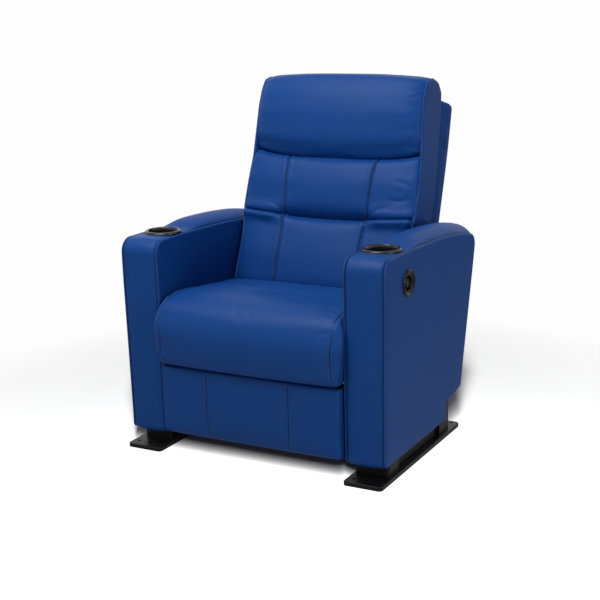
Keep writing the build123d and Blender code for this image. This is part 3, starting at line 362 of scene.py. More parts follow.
def toned_material(name, width, dark, pale, shader, bump=None, spots=None):
    """A plain finish whose tone wanders over blobs of a width, or shows pale spots.

    bump is (width, strength, distance); shader holds the sockets that stay the same all over.
    """
    material, wire, coords = start_material(name)
    share = noise(wire, coords, width)
    if spots:
        share = 0.5 * share.ramp(*spots)
    bumps = [(noise(wire, coords, bump[0]), *bump[1:])] if bump else []
    end_material(wire, {"Base Color": mixed(wire, share, rgba(dark), rgba(pale)), **shader}, bumps)
    return material


def coated_steel_material(name):
    """Black powder coat: an orange-peel skin, rubbed paler in random scuffs and dusty in random
    patches.
    """
    material, wire, coords = start_material(name)
    peel = noise(wire, coords, 0.0022, detail=2.0)
    dust = noise(wire, coords, 0.03, detail=5.0, roughness=0.6).ramp((0.5, 0.0), (0.85, 1.0))
    scuff = noise(wire, coords, 0.006, detail=6.0, roughness=0.7, distortion=1.5)
    scuff = scuff.ramp((0.62, 0.0), (0.78, 1.0))
    tone = mixed(wire, (0.35 * dust).clamped(), (0.0025, 0.0025, 0.0028, 1), (0.009, 0.009, 0.0085, 1))
    tone = mixed(wire, (0.25 * scuff).clamped(), tone, (0.016, 0.016, 0.017, 1))
    gloss = (0.38 + 0.14 * dust + 0.10 * scuff).clamped()
    end_material(
        wire, {"Base Color": tone, "Roughness": gloss, "IOR": 1.5, "Specular IOR Level": 0.22},
        [(peel, 0.14, 0.0003)])
    return material


def bare_metal_material(name, colour, rough):
    """Bare or plated metal with rolling marks and dull spots."""
    material, wire, coords = start_material(name)
    stretched = wire.node("ShaderNodeMapping", None, {"Vector": coords, "Scale": (1.0, 14.0, 14.0)})
    lines = noise(wire, stretched, 0.02, detail=4.0)
    spots = noise(wire, coords, 0.009, detail=4.0).ramp((0.5, 0.0), (0.8, 1.0))
    tone = mixed(wire, lines, rgba(colour, 0.75), rgba(colour, 1.15))
    gloss = (rough + 0.16 * spots + 0.10 * (lines - 0.5)).clamped()
    end_material(wire, {"Base Color": tone, "Metallic": 1.0, "Roughness": gloss},
                 [(lines, 0.08, 0.0002)])
    return material


def board_material(name):
    """Birch plywood: long grain with darker rings."""
    material, wire, coords = start_material(name)
    long_way = wire.node("ShaderNodeMapping", None, {"Vector": coords, "Scale": (1.0, 6.0, 1.0)})
    grain = noise(wire, long_way, 0.035, detail=8.0, roughness=0.6, distortion=1.4)
    fine = noise(wire, long_way, 0.004, detail=4.0)
    tone = mixed(wire, grain, (0.33, 0.20, 0.10, 1), (0.62, 0.45, 0.27, 1))
    tone = mixed(wire, 0.3 * fine, tone, (0.25, 0.15, 0.08, 1))
    end_material(wire, {"Base Color": tone, "Roughness": 0.62}, [(fine, 0.2, 0.0004)])
    return material


# ---- Outlines ----------------------------------------------------------------------------------------
def rounded_outline(corners, spacing):
    """A closed outline, counter-clockwise, from (a, b, radius) corners, as evenly spaced points."""
    points = []
    count = len(corners)
    for index in range(count):
        before, here, after = (np.array(corners[(index + k) % count][:2], float) for k in (-1, 0, 1))
        radius = corners[index][2]
        into = (here - before) / np.linalg.norm(here - before)
        out = (after - here) / np.linalg.norm(after - here)
        turn = math.atan2(into[0] * out[1] - into[1] * out[0], into @ out)
        if radius <= 0 or abs(turn) < 1e-4:
            points.append(here)
            continue
        reach = radius * abs(math.tan(turn / 2))
        start = here - into * reach
        side = 1 if turn > 0 else -1
        centre = start + side * radius * np.array([-into[1], into[0]])
        first = math.atan2(*(start - centre)[::-1])
        for share in np.linspace(0, 1, 17):
            angle = first + share * turn
            points.append(centre + radius * np.array([math.cos(angle), math.sin(angle)]))
    return resampled(np.array(points), spacing, closed=True)


def resampled(points, spacing=None, closed=False, count=None):
    """The same line with points evenly spaced, about a spacing apart or count of them."""
    points = np.asarray(points, float)
    if closed:
        points = np.vstack([points, points[:1]])
    steps = np.linalg.norm(np.diff(points, axis=0), axis=1)
    along = np.concatenate([[0], np.cumsum(steps)])
    count = count or max(int(round(along[-1] / spacing)), 4)
    wanted = np.linspace(0, along[-1], count + 1)
    line = np.stack([np.interp(wanted, along, points[:, k]) for k in range(points.shape[1])], axis=1)
    return line[:-1] if closed else line


def smoothed(line, rounds):
    """A line with its small bends taken out, its ends kept."""
    line = np.array(line)
    for _ in range(rounds):
        line[1:-1] = (line[:-2] + 2 * line[1:-1] + line[2:]) / 4
    return line


def split_at_gaps(line, gap=0.02):
    """The parts of a line between its wide gaps."""
    steps = np.linalg.norm(np.diff(line, axis=0), axis=1)
    parts = np.split(line, np.nonzero(steps > gap)[0] + 1)
    return [part for part in parts if len(part) > 4]


def outward(outline):
    """Outward normals of a closed counter-clockwise outline."""
    ahead = np.roll(outline, -1, axis=0) - np.roll(outline, 1, axis=0)
    normal = np.stack([ahead[:, 1], -ahead[:, 0]], axis=1)
    return normal / np.linalg.norm(normal, axis=1)[:, None]


def bell(values, middle, width):
    """1 at the middle, falling smoothly to 0 over about two widths on both sides."""
    return np.exp(-(((np.asarray(values) - middle) / width) ** 2))


def rise(values, start, length):
    """0 before the start, 1 past the length, even between. A negative length rises the other way."""
    return np.clip((values - start) / length, 0, 1)


def onset(values, middle, width):
    """0 well before the middle and 1 well after it."""
    return 1 / (1 + np.exp((middle - values) / width))


# ---- Meshes ------------------------------------------------------------------------------------------
def make_piece(name, points, faces, material=None):
    """A smooth-shaded mesh object from points in the frame."""
    mesh = bpy.data.meshes.new(name)
    mesh.from_pydata([tuple(p) for p in points], [], [tuple(f) for f in faces])
    mesh.update()
    piece = bpy.data.objects.new(name, mesh)
    bpy.context.scene.collection.objects.link(piece)
    if material:
        mesh.materials.append(material)
    tidy_mesh(mesh)
    return piece


def tidy_mesh(mesh, merge=1e-6):
    """Merge doubles, point the faces outwards and shade smooth."""
    work = bmesh.new()
    work.from_mesh(mesh)
    bmesh.ops.remove_doubles(work, verts=work.verts, dist=merge)
    bmesh.ops.recalc_face_normals(work, faces=work.faces)
    for face in work.faces:
        face.smooth = True
    work.to_mesh(mesh)
    work.free()
    mesh.update()


def ring_faces(rings, size, closed=False):
    """Quads between rings of points. closed joins the last ring to the first."""
    faces = []
    for ring in range(rings if closed else rings - 1):
        here, ahead = ring * size, ((ring + 1) % rings) * size
        for step in range(size):
            turn = (step + 1) % size
            faces.append((here + step, here + turn, ahead + turn, ahead + step))
    return faces


def capped_faces(rings, size):
    """The faces of a tube of rings, with a face over each end."""
    return ring_faces(rings, size) + [tuple(range(size))[::-1],
                                      tuple((rings - 1) * size + k for k in range(size))]


def mesh_points(piece):
    points = np.empty(len(piece.data.vertices) * 3)
    piece.data.vertices.foreach_get("co", points)
    return points.reshape(-1, 3)


def mesh_normals(piece):
    normals = np.empty(len(piece.data.vertices) * 3)
    piece.data.vertex_normals.foreach_get("vector", normals)
    return normals.reshape(-1, 3)


def set_points(piece, points):
    piece.data.vertices.foreach_set("co", np.asarray(points, float).ravel())
    piece.data.update()


def bake_modifiers(piece):
    """Turn the piece with its modifiers into a plain mesh."""
    depsgraph = bpy.context.evaluated_depsgraph_get()
    mesh = bpy.data.meshes.new_from_object(piece.evaluated_get(depsgraph))
    old = piece.data
    piece.modifiers.clear()
    piece.data = mesh
    mesh.name = piece.name
    bpy.data.meshes.remove(old)


def modified(piece, kind, **settings):
    """Add one modifier and bake it at once."""
    modifier = piece.modifiers.new(kind.title(), kind)
    for name, value in settings.items():
        setattr(modifier, name, value)
    bake_modifiers(piece)


def turned(name, profile, segments, place, material, ring=False):
    """A turned piece from (radius, height) rows, closed at its ends or, as a ring, from end to end.

    place maps (a, b, height) points to the frame.
    """
    angles = np.linspace(0, 2 * math.pi, segments, endpoint=False)
    points = np.vstack([spots(radius * np.cos(angles), radius * np.sin(angles), height)
                        for radius, height in profile])
    faces = ring_faces(len(profile), segments, closed=ring)
    for row in () if ring else (0, len(profile) - 1):
        centre = len(points)
        points = np.vstack([points, [[0, 0, profile[row][1]]]])
        faces += [(row * segments + step, row * segments + (step + 1) % segments, centre)
                  for step in range(segments)]
    return make_piece(name, place(points), faces, MADE[material])


# ---- Padded pieces -----------------------------------------------------------------------------------
def pad_points(outline, half, seam, crown, roll):
    """Rings (x, a, b) of a pad with a side view: crowned between its seams, rolled over to its sides.

    Each size is one number or has a value for each point of the side view.
    """
    normals = outward(outline)
    rings = []

    def ring(x, height):
        flat = outline + normals * np.broadcast_to(height, len(outline))[:, None]
        rings.append(spots(x, *flat.T))

    for turn in np.radians(np.linspace(90, 0, 7)):
        ring(-(seam + (half - seam) * math.sin(turn)), -roll * (1 - math.cos(turn)))
    for share in np.linspace(-1, 1, 61)[1:-1]:
        ring(share * seam, crown * max(1 - abs(share) ** 2.6, 0) ** 0.62)  # full shoulders
    for turn in np.radians(np.linspace(0, 90, 7)):
        ring(seam + (half - seam) * math.sin(turn), -roll * (1 - math.cos(turn)))
    return np.array(rings)


def pad_piece(name, rings, place):
    """A closed mesh from a pad's rings, its two side faces filled."""
    return make_piece(name, place(rings.reshape(-1, 3)), capped_faces(*rings.shape[:2]))


def relax(piece, rounds, factor=0.5):
    modified(piece, "SMOOTH", factor=factor, iterations=rounds)


CLOTH = {"quality": 4, "mass": 0.35, "tension_stiffness": 26, "compression_stiffness": 26,
         "shear_stiffness": 12, "bending_stiffness": 1.2, "use_pressure": True,
         "vertex_group_mass": "held", "pin_stiffness": 1.0}
CLOTH_FRAMES = 20


def swell(piece, held, cap=None, pressure=None):
    """Remesh the piece evenly and let pressure round it out like a stuffed cover.

    held maps points to 0 where the cover is free and 1 where seams or boards hold it.
    """
    padding = bpy.context.scene.recliner_padding
    modified(piece, "REMESH", mode="VOXEL", voxel_size=padding.voxel, use_smooth_shade=True)
    relax(piece, 6)
    before = mesh_points(piece)
    group = piece.vertex_groups.new(name="held")
    weights = np.round(np.clip(held(before), 0, 1), 2)
    for level in np.unique(weights):
        if level > 0:
            group.add(np.nonzero(weights == level)[0].tolist(), float(level), "REPLACE")
    cloth = piece.modifiers.new("Swell", "CLOTH")
    for name, value in CLOTH.items():
        setattr(cloth.settings, name, value)
    cloth.settings.uniform_pressure_force = pressure or padding.pressure
    cloth.settings.effector_weights.gravity = 0
    cloth.collision_settings.use_collision = False
    cloth.collision_settings.use_self_collision = False
    cloth.point_cache.frame_start = 1
    cloth.point_cache.frame_end = CLOTH_FRAMES
    scene = bpy.context.scene
    for number in range(1, CLOTH_FRAMES + 1):
        scene.frame_set(number)
    bake_modifiers(piece)
    piece.vertex_groups.clear()
    scene.frame_set(1)
    moved = mesh_points(piece) - before
    length = np.linalg.norm(moved, axis=1)[:, None]
    limit = cap or padding.cap
    set_points(piece, before + moved * limit * np.tanh(length / limit) / np.maximum(length, 1e-9))
    modified(piece, "SUBSURF", levels=1, render_levels=1)
    relax(piece, 2)


def nearest_tree(points):
    """A tree that finds the nearest of some points."""
    tree = kdtree.KDTree(len(points))
    for index, point in enumerate(points):
        tree.insert(point, index)
    tree.balance()
    return tree


def line_reach(points, line, reach):
    """Distance to a line and way along it for the points within reach of it; far points get reach."""
    low, high = line.min(axis=0) - reach, line.max(axis=0) + reach
    near = np.nonzero(np.all((points > low) & (points < high), axis=1))[0]
    tree = nearest_tree(line)
    distance = np.full(len(points), reach)
    along = np.zeros(len(points))
    for index in near:
        _, found, gap = tree.find(points[index])
        if gap < reach:
            distance[index] = gap
            along[index] = found
    return distance, along * np.linalg.norm(line[1] - line[0])


LINE_STEP = 0.0015  # between the points of a line that is pressed or shaded


def paint_seam_shade(piece, shade):
    """Raise the seam attribute, which paints shade onto the leather, at least to each point's shade."""
    attribute = piece.data.attributes.get("seam") or piece.data.attributes.new("seam", "FLOAT", "POINT")
    old = np.zeros(len(shade), np.float32)
    attribute.data.foreach_get("value", old)
    attribute.data.foreach_set("value", np.maximum(old, shade).astype(np.float32))


def shade_seam(piece, line, width):
    """Paint shade onto the leather close to a seam between two covers, where its groove lies in shade.
    """
    distance, _ = line_reach(mesh_points(piece), resampled(line, LINE_STEP), width * 5)
    paint_seam_shade(piece, bell(distance, 0, width))


def press_line(piece, line, depth, width, lift=0.25, pucker=0.0, taper=False, dark=1.0):
    """Sink a groove along a line into the piece, with a soft lift beside it, puckers across it and
    painted shade in it.
    """
    line = resampled(line, LINE_STEP)
    points, normals = mesh_points(piece), mesh_normals(piece)
    reach, pitch = width * 7, 0.013
    distance, along = line_reach(points, line, reach)
    share = np.ones(len(points))
    if taper:
        share = np.sin(np.pi * np.clip(along / (len(line) * LINE_STEP), 0, 1)) ** 0.7
    groove = bell(distance, 0, width)
    shoulder = bell(distance, 2.6 * width, 1.7 * width)
    uneven = 0.6 + 0.4 * np.sin(along * 2 * math.pi / (pitch * 3.7))
    wander = np.sin(along * 2 * math.pi / pitch) * uneven
    ripple = pucker * wander * bell(distance, 0, 3.2 * width)
    moved = (-depth * groove + lift * depth * shoulder - ripple) * share
    moved[distance >= reach - 1e-9] = 0
    set_points(piece, points + normals * moved[:, None])
    # Painted shade in the groove, scaled by dark.
    paint_seam_shade(piece, dark * bell(distance, 0, max(width * 0.55, 0.0016)) * share)


THREAD_LIFT = 0.0003  # of the stitches over the leather


class Surface:
    """The outside of some finished pieces, on which lines are laid."""

    def __init__(self, *pieces):
        points, faces = [], []
        for piece in pieces:
            first = len(points)
            points.extend(v.co for v in piece.data.vertices)
            faces.extend([first + k for k in face.vertices] for face in piece.data.polygons)
        self.tree = BVHTree.FromPolygons(points, faces)

    def lay(self, line, lift=0.0):
        """The nearest points of the surface to a line, and the normals there."""
        laid, normals = [], []
        for point in line:
            spot, normal, _, _ = self.tree.find_nearest(Vector(point))
            laid.append(spot + normal * lift)
            normals.append(normal)
        return np.array(laid), np.array(normals)

    def behind(self, line, ahead):
        """Where the surface is first met on the way ahead from each point of a line."""
        met = [self.tree.ray_cast(Vector(point), ahead)[0] for point in line]
        return np.array([spot for spot in met if spot])

    def beside(self, lines, sides=(-1, 1)):
        """Rows of thread on both sides of each seam."""
        spread = bpy.context.scene.recliner_stitching.spread
        rows = []
        for line in lines:
            laid, normals = self.lay(resampled(line, 0.003))
            ahead = np.gradient(laid, axis=0)
            ahead /= np.linalg.norm(ahead, axis=1)[:, None]
            across = np.cross(ahead, normals)
            rows += [self.lay(laid + side * spread * across, THREAD_LIFT)[0] for side in sides]
        return rows


MADE = {}  # the materials and the stitches' node tree, by their short names


# ---- Stitches ----------------------------------------------------------------------------------------
def stitch_tree(material):
    """Geometry nodes that set stitches along lines: pitch, length, thickness and seed are inputs."""
    tree = bpy.data.node_groups.new("Stitch rows", "GeometryNodeTree")
    tree.interface.new_socket("Geometry", in_out="INPUT", socket_type="NodeSocketGeometry")
    for name in ("Pitch", "Length", "Thickness"):
        tree.interface.new_socket(name, in_out="INPUT", socket_type="NodeSocketFloat")
    tree.interface.new_socket("Seed", in_out="INPUT", socket_type="NodeSocketInt")
    tree.interface.new_socket("Geometry", in_out="OUTPUT", socket_type="NodeSocketGeometry")

    def add(kind, links=(), values=(), **settings):
        node = tree.nodes.new(kind)
        for name, value in settings.items():
            setattr(node, name, value)
        for key, value in values:
            node.inputs[key].default_value = value
        for key, socket in links:
            tree.links.new(socket, node.inputs[key])
        return node

    given = add("NodeGroupInput").outputs
    curve = add("GeometryNodeMeshToCurve", [("Mesh", given["Geometry"])])
    rows = add("GeometryNodeResampleCurve", [("Curve", curve.outputs[0]), ("Length", given["Pitch"])],
               mode="LENGTH")
    bead = add("GeometryNodeMeshUVSphere", values=[("Segments", 6), ("Rings", 5), ("Radius", 0.5)])
    size = add("ShaderNodeCombineXYZ", [("X", given["Length"]), ("Y", given["Thickness"]),
                                        ("Z", given["Thickness"])])
    turn = add("FunctionNodeAlignRotationToVector",
               [("Vector", add("GeometryNodeInputTangent").outputs[0])], axis="X")
    spin = add("FunctionNodeRandomValue", [("Seed", given["Seed"])], [(2, -0.10), (3, 0.10)],
               data_type="FLOAT")
    lean = add("ShaderNodeCombineXYZ", [("Z", spin.outputs[1])])
    turned_spin = add("FunctionNodeRotateRotation",
                      [("Rotation", turn.outputs[0]), ("Rotate By", lean.outputs[0])],
                      rotation_space="LOCAL")
    placed = add("GeometryNodeInstanceOnPoints",
                 [("Points", rows.outputs[0]), ("Instance", bead.outputs["Mesh"]),
                  ("Rotation", turned_spin.outputs[0]), ("Scale", size.outputs[0])])
    real = add("GeometryNodeRealizeInstances", [("Geometry", placed.outputs[0])])
    smooth = add("GeometryNodeSetShadeSmooth", [("Geometry", real.outputs[0])])
    coloured = add("GeometryNodeSetMaterial", [("Geometry", smooth.outputs[0])],
                   [("Material", material)])
    add("NodeGroupOutput", [("Geometry", coloured.outputs[0])])
    return tree


def stitch_rows(name, rows, body):
    """Set stitches along rows of points, as one plain mesh that rides on a body."""
    points, edges = [], []
    for row in rows:
        first = len(points)
        points.extend(tuple(p) for p in row)
        edges.extend((first + k, first + k + 1) for k in range(len(row) - 1))
    mesh = bpy.data.meshes.new(name)
    mesh.from_pydata(points, edges, [])
    piece = bpy.data.objects.new(name, mesh)
    bpy.context.scene.collection.objects.link(piece)
    look = bpy.context.scene.recliner_stitching
    modifier = piece.modifiers.new("Stitches", "NODES")
    modifier.node_group = MADE["stitches"]
    sizes = {"Pitch": look.pitch, "Length": look.length, "Thickness": look.thickness, "Seed": look.seed}
    for item in MADE["stitches"].interface.items_tree:
        if item.item_type == "SOCKET" and item.in_out == "INPUT" and item.name in sizes:
            modifier[item.identifier] = sizes[item.name]
    bake_modifiers(piece)
    settle(piece, body, [])


def settle(piece, body, nodes):
    """Let a finished piece ride on its body and stand for nodes of the frame."""
    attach(piece, body)
    if nodes:
        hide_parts(*nodes)


def finish_pad(piece, body, nodes):
    """Give a padded cover its leather, its body and the nodes of the frame that it stands for."""
    paint_seam_shade(piece, np.zeros(len(piece.data.vertices)))
    piece.data.materials.clear()
    piece.data.materials.append(MADE["leather"])
    for polygon in piece.data.polygons:
        polygon.use_smooth = True
    settle(piece, body, nodes)


# ---- Covers over boards: the arms' panels and borders, the back's side bands ------------------------
def inside(point, outline):
    """Whether a point lies inside an outline."""
    (y0, z0), (y1, z1) = outline.T, np.roll(outline, -1, axis=0).T
    crosses = (z0 > point[1]) != (z1 > point[1])
    with np.errstate(divide="ignore", invalid="ignore"):
        at = (y1 - y0) * (point[1] - z0) / (z1 - z0) + y0
    return bool(np.count_nonzero(crosses & (point[0] < at)) % 2)


def edge_distance(points, outline):
    """Distance of points to an outline whose points lie close together."""
    tree = nearest_tree([(y, z, 0) for y, z in outline])
    return np.array([tree.find((y, z, 0))[2] for y, z in points])


def cover_panel(name, outline, base, side, thickness, edge, crown, place, spacing=0.007):
    """A padded panel over a board: side is the way it faces along x, base the x of its back.

    Its edge comes out of the seam, rolls round the corner within a width and rises by the thickness
    to the field, which is crowned.
    """
    normals = outward(outline)
    wall = 0.0032  # the upright part of the edge, before it rolls over
    rolled = [(0.0035, -0.0015), (0.0014, 0.0002), (0.0004, 0.0016), (0.0, wall)]
    for turn in np.radians(np.linspace(0, 90, 9))[1:]:
        rolled.append((edge * (1 - math.cos(turn)), wall + (thickness - wall) * math.sin(turn)))
    size = len(outline)
    points = np.vstack([spots(base + side * height, *(outline - normals * inset).T)
                        for inset, height in rolled])
    faces = ring_faces(len(rolled), size)
    rim = outline - normals * edge
    low, high = rim.min(axis=0), rim.max(axis=0)
    row_step = spacing * 0.866  # of even triangles
    grid = np.array([(y, z) for row, z in enumerate(np.arange(low[1], high[1], row_step))
                     for y in np.arange(low[0] + (row % 2) * spacing / 2, high[0], spacing)])
    grid = grid[edge_distance(grid, rim) > spacing * 0.55]
    grid = np.array([p for p in grid if inside(p, rim)])
    flat = [Vector(p) for p in np.vstack([rim, grid])]
    borders = [(k, (k + 1) % size) for k in range(size)]
    found, _, triangles, _, _, _ = delaunay_2d_cdt(flat, borders, [], 1, 1e-7)
    found = np.array([tuple(p) for p in found])
    height = thickness + crown * (1 - np.exp(-edge_distance(found, rim) / 0.055))
    first = len(points)
    points = np.vstack([points, spots(base + side * height, *found.T)])
    faces.extend(tuple(first + k for k in triangle) for triangle in triangles)
    faces.append(tuple(range(size)))
    piece = make_piece(name, place(points), faces)
    tidy_mesh(piece.data, merge=2e-5)
    return piece


def drill(piece, start, end, radius):
    """Cut a round hole through a closed piece, from start to end."""
    start, end = Vector(start), Vector(end)
    work = bmesh.new()
    bmesh.ops.create_cone(work, cap_ends=True, segments=96, radius1=radius, radius2=radius,
                          depth=(end - start).length)
    turn = Vector((0, 0, 1)).rotation_difference(end - start)
    place = Matrix.LocRotScale((start + end) / 2, turn, None)
    bmesh.ops.transform(work, matrix=place, verts=work.verts)
    mesh = bpy.data.meshes.new("drill")
    work.to_mesh(mesh)
    work.free()
    bit = bpy.data.objects.new("drill", mesh)
    bpy.context.scene.collection.objects.link(bit)
    bpy.context.view_layer.update()
    modified(piece, "BOOLEAN", operation="DIFFERENCE", object=bit, solver="EXACT")
    bpy.data.objects.remove(bit)
    bpy.data.meshes.remove(mesh)


def arm_outline():
    """Side view (y, z) of an arm: upright front, rounded top that falls to the rear, stepped bottom."""
    below_top = [(0.664, 0.0520), (0.600, 0.0360), (0.550, 0.0265), (0.500, 0.0190), (0.450, 0.0140),
                 (0.400, 0.0100), (0.350, 0.0075), (0.300, 0.0055), (0.250, 0.0040), (0.200, 0.0022),
                 (0.150, 0.0008)]
    (rear, drop), *top = below_top
    corners = [(0.0, 0.053, 0.012), (0.440, 0.055, 0.008), (0.440, 0.108, 0.006), (0.553, 0.125, 0.014),
               (rear, ARM_TOP - drop, 0.034)]
    corners += [(y, ARM_TOP - drop, 0.0) for y, drop in top] + [(0.0, ARM_TOP, 0.041)]
    return rounded_outline(corners, 0.004)


def flared(points):
    """Points of an arm, which leans out a little towards its top, in the frame."""
    points = np.array(points, float)
    x, z = np.abs(points[:, 0]), points[:, 2]
    out = rise(x, ARM_INNER + PANEL, ARM_OUTER - ARM_INNER)
    lean = 0.0035 * rise(z, 0.25, 0.35) * (1 - out) + 0.0055 * rise(z, 0.10, 0.40) * out
    points[:, 0] += np.sign(points[:, 0]) * lean
    return seat_place(points)


def border_cover(name, outline, low, high, place):
    """The strip along an arm's front, top and rear, closed underneath, its edges drawn in."""
    normals = outward(outline)
    size = len(outline)
    edge = [0.91, 0.955, 0.985, 1]
    shares = np.concatenate([[-share for share in edge[::-1]], np.linspace(-0.85, 0.85, 21), edge])
    facing = np.degrees(np.arctan2(normals[:, 1], -normals[:, 0]))
    top_corner = bell(facing, 45, 30) * (outline[:, 0] < 0.1)
    along = np.concatenate([[0], np.cumsum(np.linalg.norm(np.diff(outline, axis=0), axis=1))])
    pucker = 0.0007 * top_corner * np.sin(along * 2 * math.pi / 0.0125)
    to_rear, upward = np.clip(normals, 0, 1).T
    to_front, downward = np.clip(-normals, 0, 1).T
    plump = upward * (0.0020 + 0.0250 * onset(outline[:, 0], CUP_REAR, 0.015))
    plump += 0.0035 * to_front
    plump += 0.013 * to_rear ** 2
    plump += 0.003 * downward
    rings = []
    middle, half = (low + high) / 2, (high - low) / 2
    for share in shares:
        seam = abs(share) ** 26  # 1 at the seams alone
        height = (0.0010 + plump) * (1 - share ** 2) ** 0.9 - 0.0042 * seam
        height += pucker * bell(abs(share), 1, 0.16) * (1 - seam)
        rings.append((share, outline + normals * height[:, None]))
    underside = outline - normals * 0.0115
    rings += [(share, underside) for share in (0.98, 0.0, -0.98)]
    points = np.vstack([spots(middle + share * half, *flat.T) for share, flat in rings])
    return make_piece(name, place(points), ring_faces(len(rings), size, closed=True))


# ---- Back: the lines where its cushions meet ---------------------------------------------------------
def smile(points):
    """Bend the back's level lines (x, n, u) so that the tuck and the fold drop in the middle."""
    points = np.array(points, float)
    x, u = points[:, 0], points[:, 2]
    reach = np.clip(np.abs(x) / 0.285, 0, 1)
    fold = (0.006 - 0.022 * (1 - reach ** 3.5)) * bell(u, FOLD, 0.070)
    tuck = (0.001 - 0.015 * (1 - reach ** 2)) * bell(u, TUCK, 0.060)
    on_front = points[:, 1] < -0.03
    shallow = 0.031 * onset(np.abs(x), 0.150, 0.010) * bell(u, TUCK, 0.022) * on_front
    shallow += 0.010 * reach ** 8 * bell(u, FOLD, 0.014) * on_front
    points[:, 1] -= shallow
    points[:, 2] = u + fold + tuck
    upper = rise(u, 0.74, -0.34)
    points[:, 0] = x * (0.992 + 0.048 * rise(u, 0.26, 0.09) * upper ** 2 * (3 - 2 * upper)
                        + 0.008 * rise(u, 0.35, -0.09))
    return points


def bent_back_place(points):
    """Points of the back's cushions, which bend at the tuck and the fold, in the frame."""
    return back_place(smile(points))


def widened_back_place(points):
    """Points of the side bands, which follow the cushions' width without their bends."""
    points = np.array(points, float)
    points[:, 0] = smile(points)[:, 0]
    return back_place(points)


def facing_crown(outline, front, top=0.0, under=0.0):
    """Crown of each point of a side view, by which way it faces."""
    normals = outward(outline)
    return (front * np.clip(-normals[:, 0], 0, 1) ** 1.5 + top * np.clip(normals[:, 1], 0, 1) ** 1.5
            + under * np.clip(-normals[:, 1], 0, 1) ** 1.5)


def upright_seam(x, low, high, bow):
    """A line before the back at x, leaning out by bow at its upper end."""
    u = np.linspace(low, high, 40)
    share = (u - low) / (high - low)
    return spots(x + math.copysign(bow, x) * share ** 2, -0.16, u)


def back_line_on(piece, line):
    """The points of a cushion straight behind a line before the back."""
    return Surface(piece).behind(bent_back_place(line), Vector((0, math.cos(LEAN), -math.sin(LEAN))))


# ---- Operators ---------------------------------------------------------------------------------------
class RECLINER_OT_finishes(bpy.types.Operator):
    """Make every material and give the carried-over pieces theirs"""
    bl_idname = "recliner.finishes"
    bl_label = "Finishes"

    def execute(self, context):
        look = context.scene.recliner_leather
        MADE.update({
            "leather": leather_material("blue_leather", look),
            "thread": thread_material("blue_thread", look),
            "gloss plastic": plastic_material("gloss_black_plastic", (0.003, 0.003, 0.0033), 0.12),
            "satin plastic": plastic_material("satin_black_plastic", (0.004, 0.004, 0.0045), 0.20,
                                              grain=0.06, shine=0.22),
            "matt liner": toned_material(
                "matt_black_liner", 0.018, (0.0015, 0.0015, 0.0016), (0.006, 0.006, 0.0058),
                {"Roughness": 0.62, "IOR": 1.45, "Specular IOR Level": 0.06},
                bump=(0.0011, 0.10, 0.0002), spots=((0.45, 0.0), (0.75, 1.0))),
            # Painted glint: a blue finish for a small dome that stands in for the blue glint on the
            # release's paddle.
            "painted blue glint": toned_material(
                "painted_blue_glint", 0.002, (0.004, 0.060, 0.260), (0.010, 0.110, 0.420), {"Roughness": 0.10}),
            "cable": toned_material(
                "cable_sheath", 0.003, (0.012, 0.012, 0.012), (0.03, 0.03, 0.03), {"Roughness": 0.5},
                bump=(0.003, 0.1, 0.0002)),
            "coated steel": coated_steel_material("black_powder_coat"),
            "zinc": bare_metal_material("zinc_plate", (0.55, 0.54, 0.50), 0.32),
            "spring": bare_metal_material("spring_steel", (0.20, 0.20, 0.21), 0.38),
            "board": board_material("plywood")})
        MADE["stitches"] = stitch_tree(MADE["thread"])
        finishes = {
            "leather": "leather", "cushion": "leather", "shell_leather": "leather",
            "black_plastic": "gloss plastic", "black_steel": "coated steel", "zinc_steel": "zinc",
            "spring_steel": "spring", "cable": "cable", "board": "board"}
        slots = {piece["node"]: piece["material_slot"] for piece in frame["record"]["subparts"]}
        for name, node in frame["nodes"].items():
            finish = "satin plastic" if name == "handle_paddle" else finishes[slots[name]]
            node.data.materials.clear()
            node.data.materials.append(MADE[finish])
        return {"FINISHED"}


class RECLINER_OT_arms(bpy.types.Operator):
    """Cover both arms: side panels, borders and their double-stitched seams"""
    bl_idname = "recliner.arms"
    bl_label = "Arm covers"

    def execute(self, context):
        outline = arm_outline()
        panel_low, panel_high = ARM_INNER + PANEL, ARM_OUTER - PANEL
        above_feet = outline[outline[:, 1] > 0.062]
        first = int(np.argmin(np.abs(above_feet[:, 0] - 0.44) + np.abs(above_feet[:, 1] - 0.062)))
        line = np.roll(above_feet, -first - 1, axis=0)
        line = line[line[:, 1] > 0.064]
        for arm, side in (("left", 1), ("right", -1)):
            border = border_cover(
                f"{arm}_arm_border_cover", outline, side * panel_low, side * panel_high, flared)
            inner = cover_panel(f"{arm}_arm_inner_cover", outline, side * panel_low, -side, PANEL,
                                0.0055, 0.0004, flared)
            outer = cover_panel(f"{arm}_arm_outer_cover", outline, side * panel_high, side, PANEL,
                                0.009, 0.0022, flared)
            x, y, _ = box_middle(f"{arm}_cup_holder")
            drill(border, (x, y, ARM_TOP - 0.03), (x, y, ARM_TOP + 0.03), CUP_HOLE)
            if arm == "left":
                drill(outer, (ARM_OUTER - 0.03, *BEZEL_MIDDLE), (ARM_OUTER + 0.03, *BEZEL_MIDDLE),
                      BEZEL_HOLE)
            rows = []
            surface = Surface(border, inner, outer)
            for x, panel in ((panel_low, inner), (panel_high, outer)):
                for part in split_at_gaps(flared(spots(side * x, *line.T))):
                    rows += surface.beside([part])
                    # Painted shade on both covers along each seam's groove.
                    for piece in (border, panel):
                        shade_seam(piece, part, 0.0024)
            for piece, node in ((border, "border"), (inner, "inner_panel"), (outer, "outer_panel")):
                finish_pad(piece, "base", [f"{arm}_arm_{node}"])
            stitch_rows(f"{arm}_arm_stitching", rows, "base")
        return {"FINISHED"}


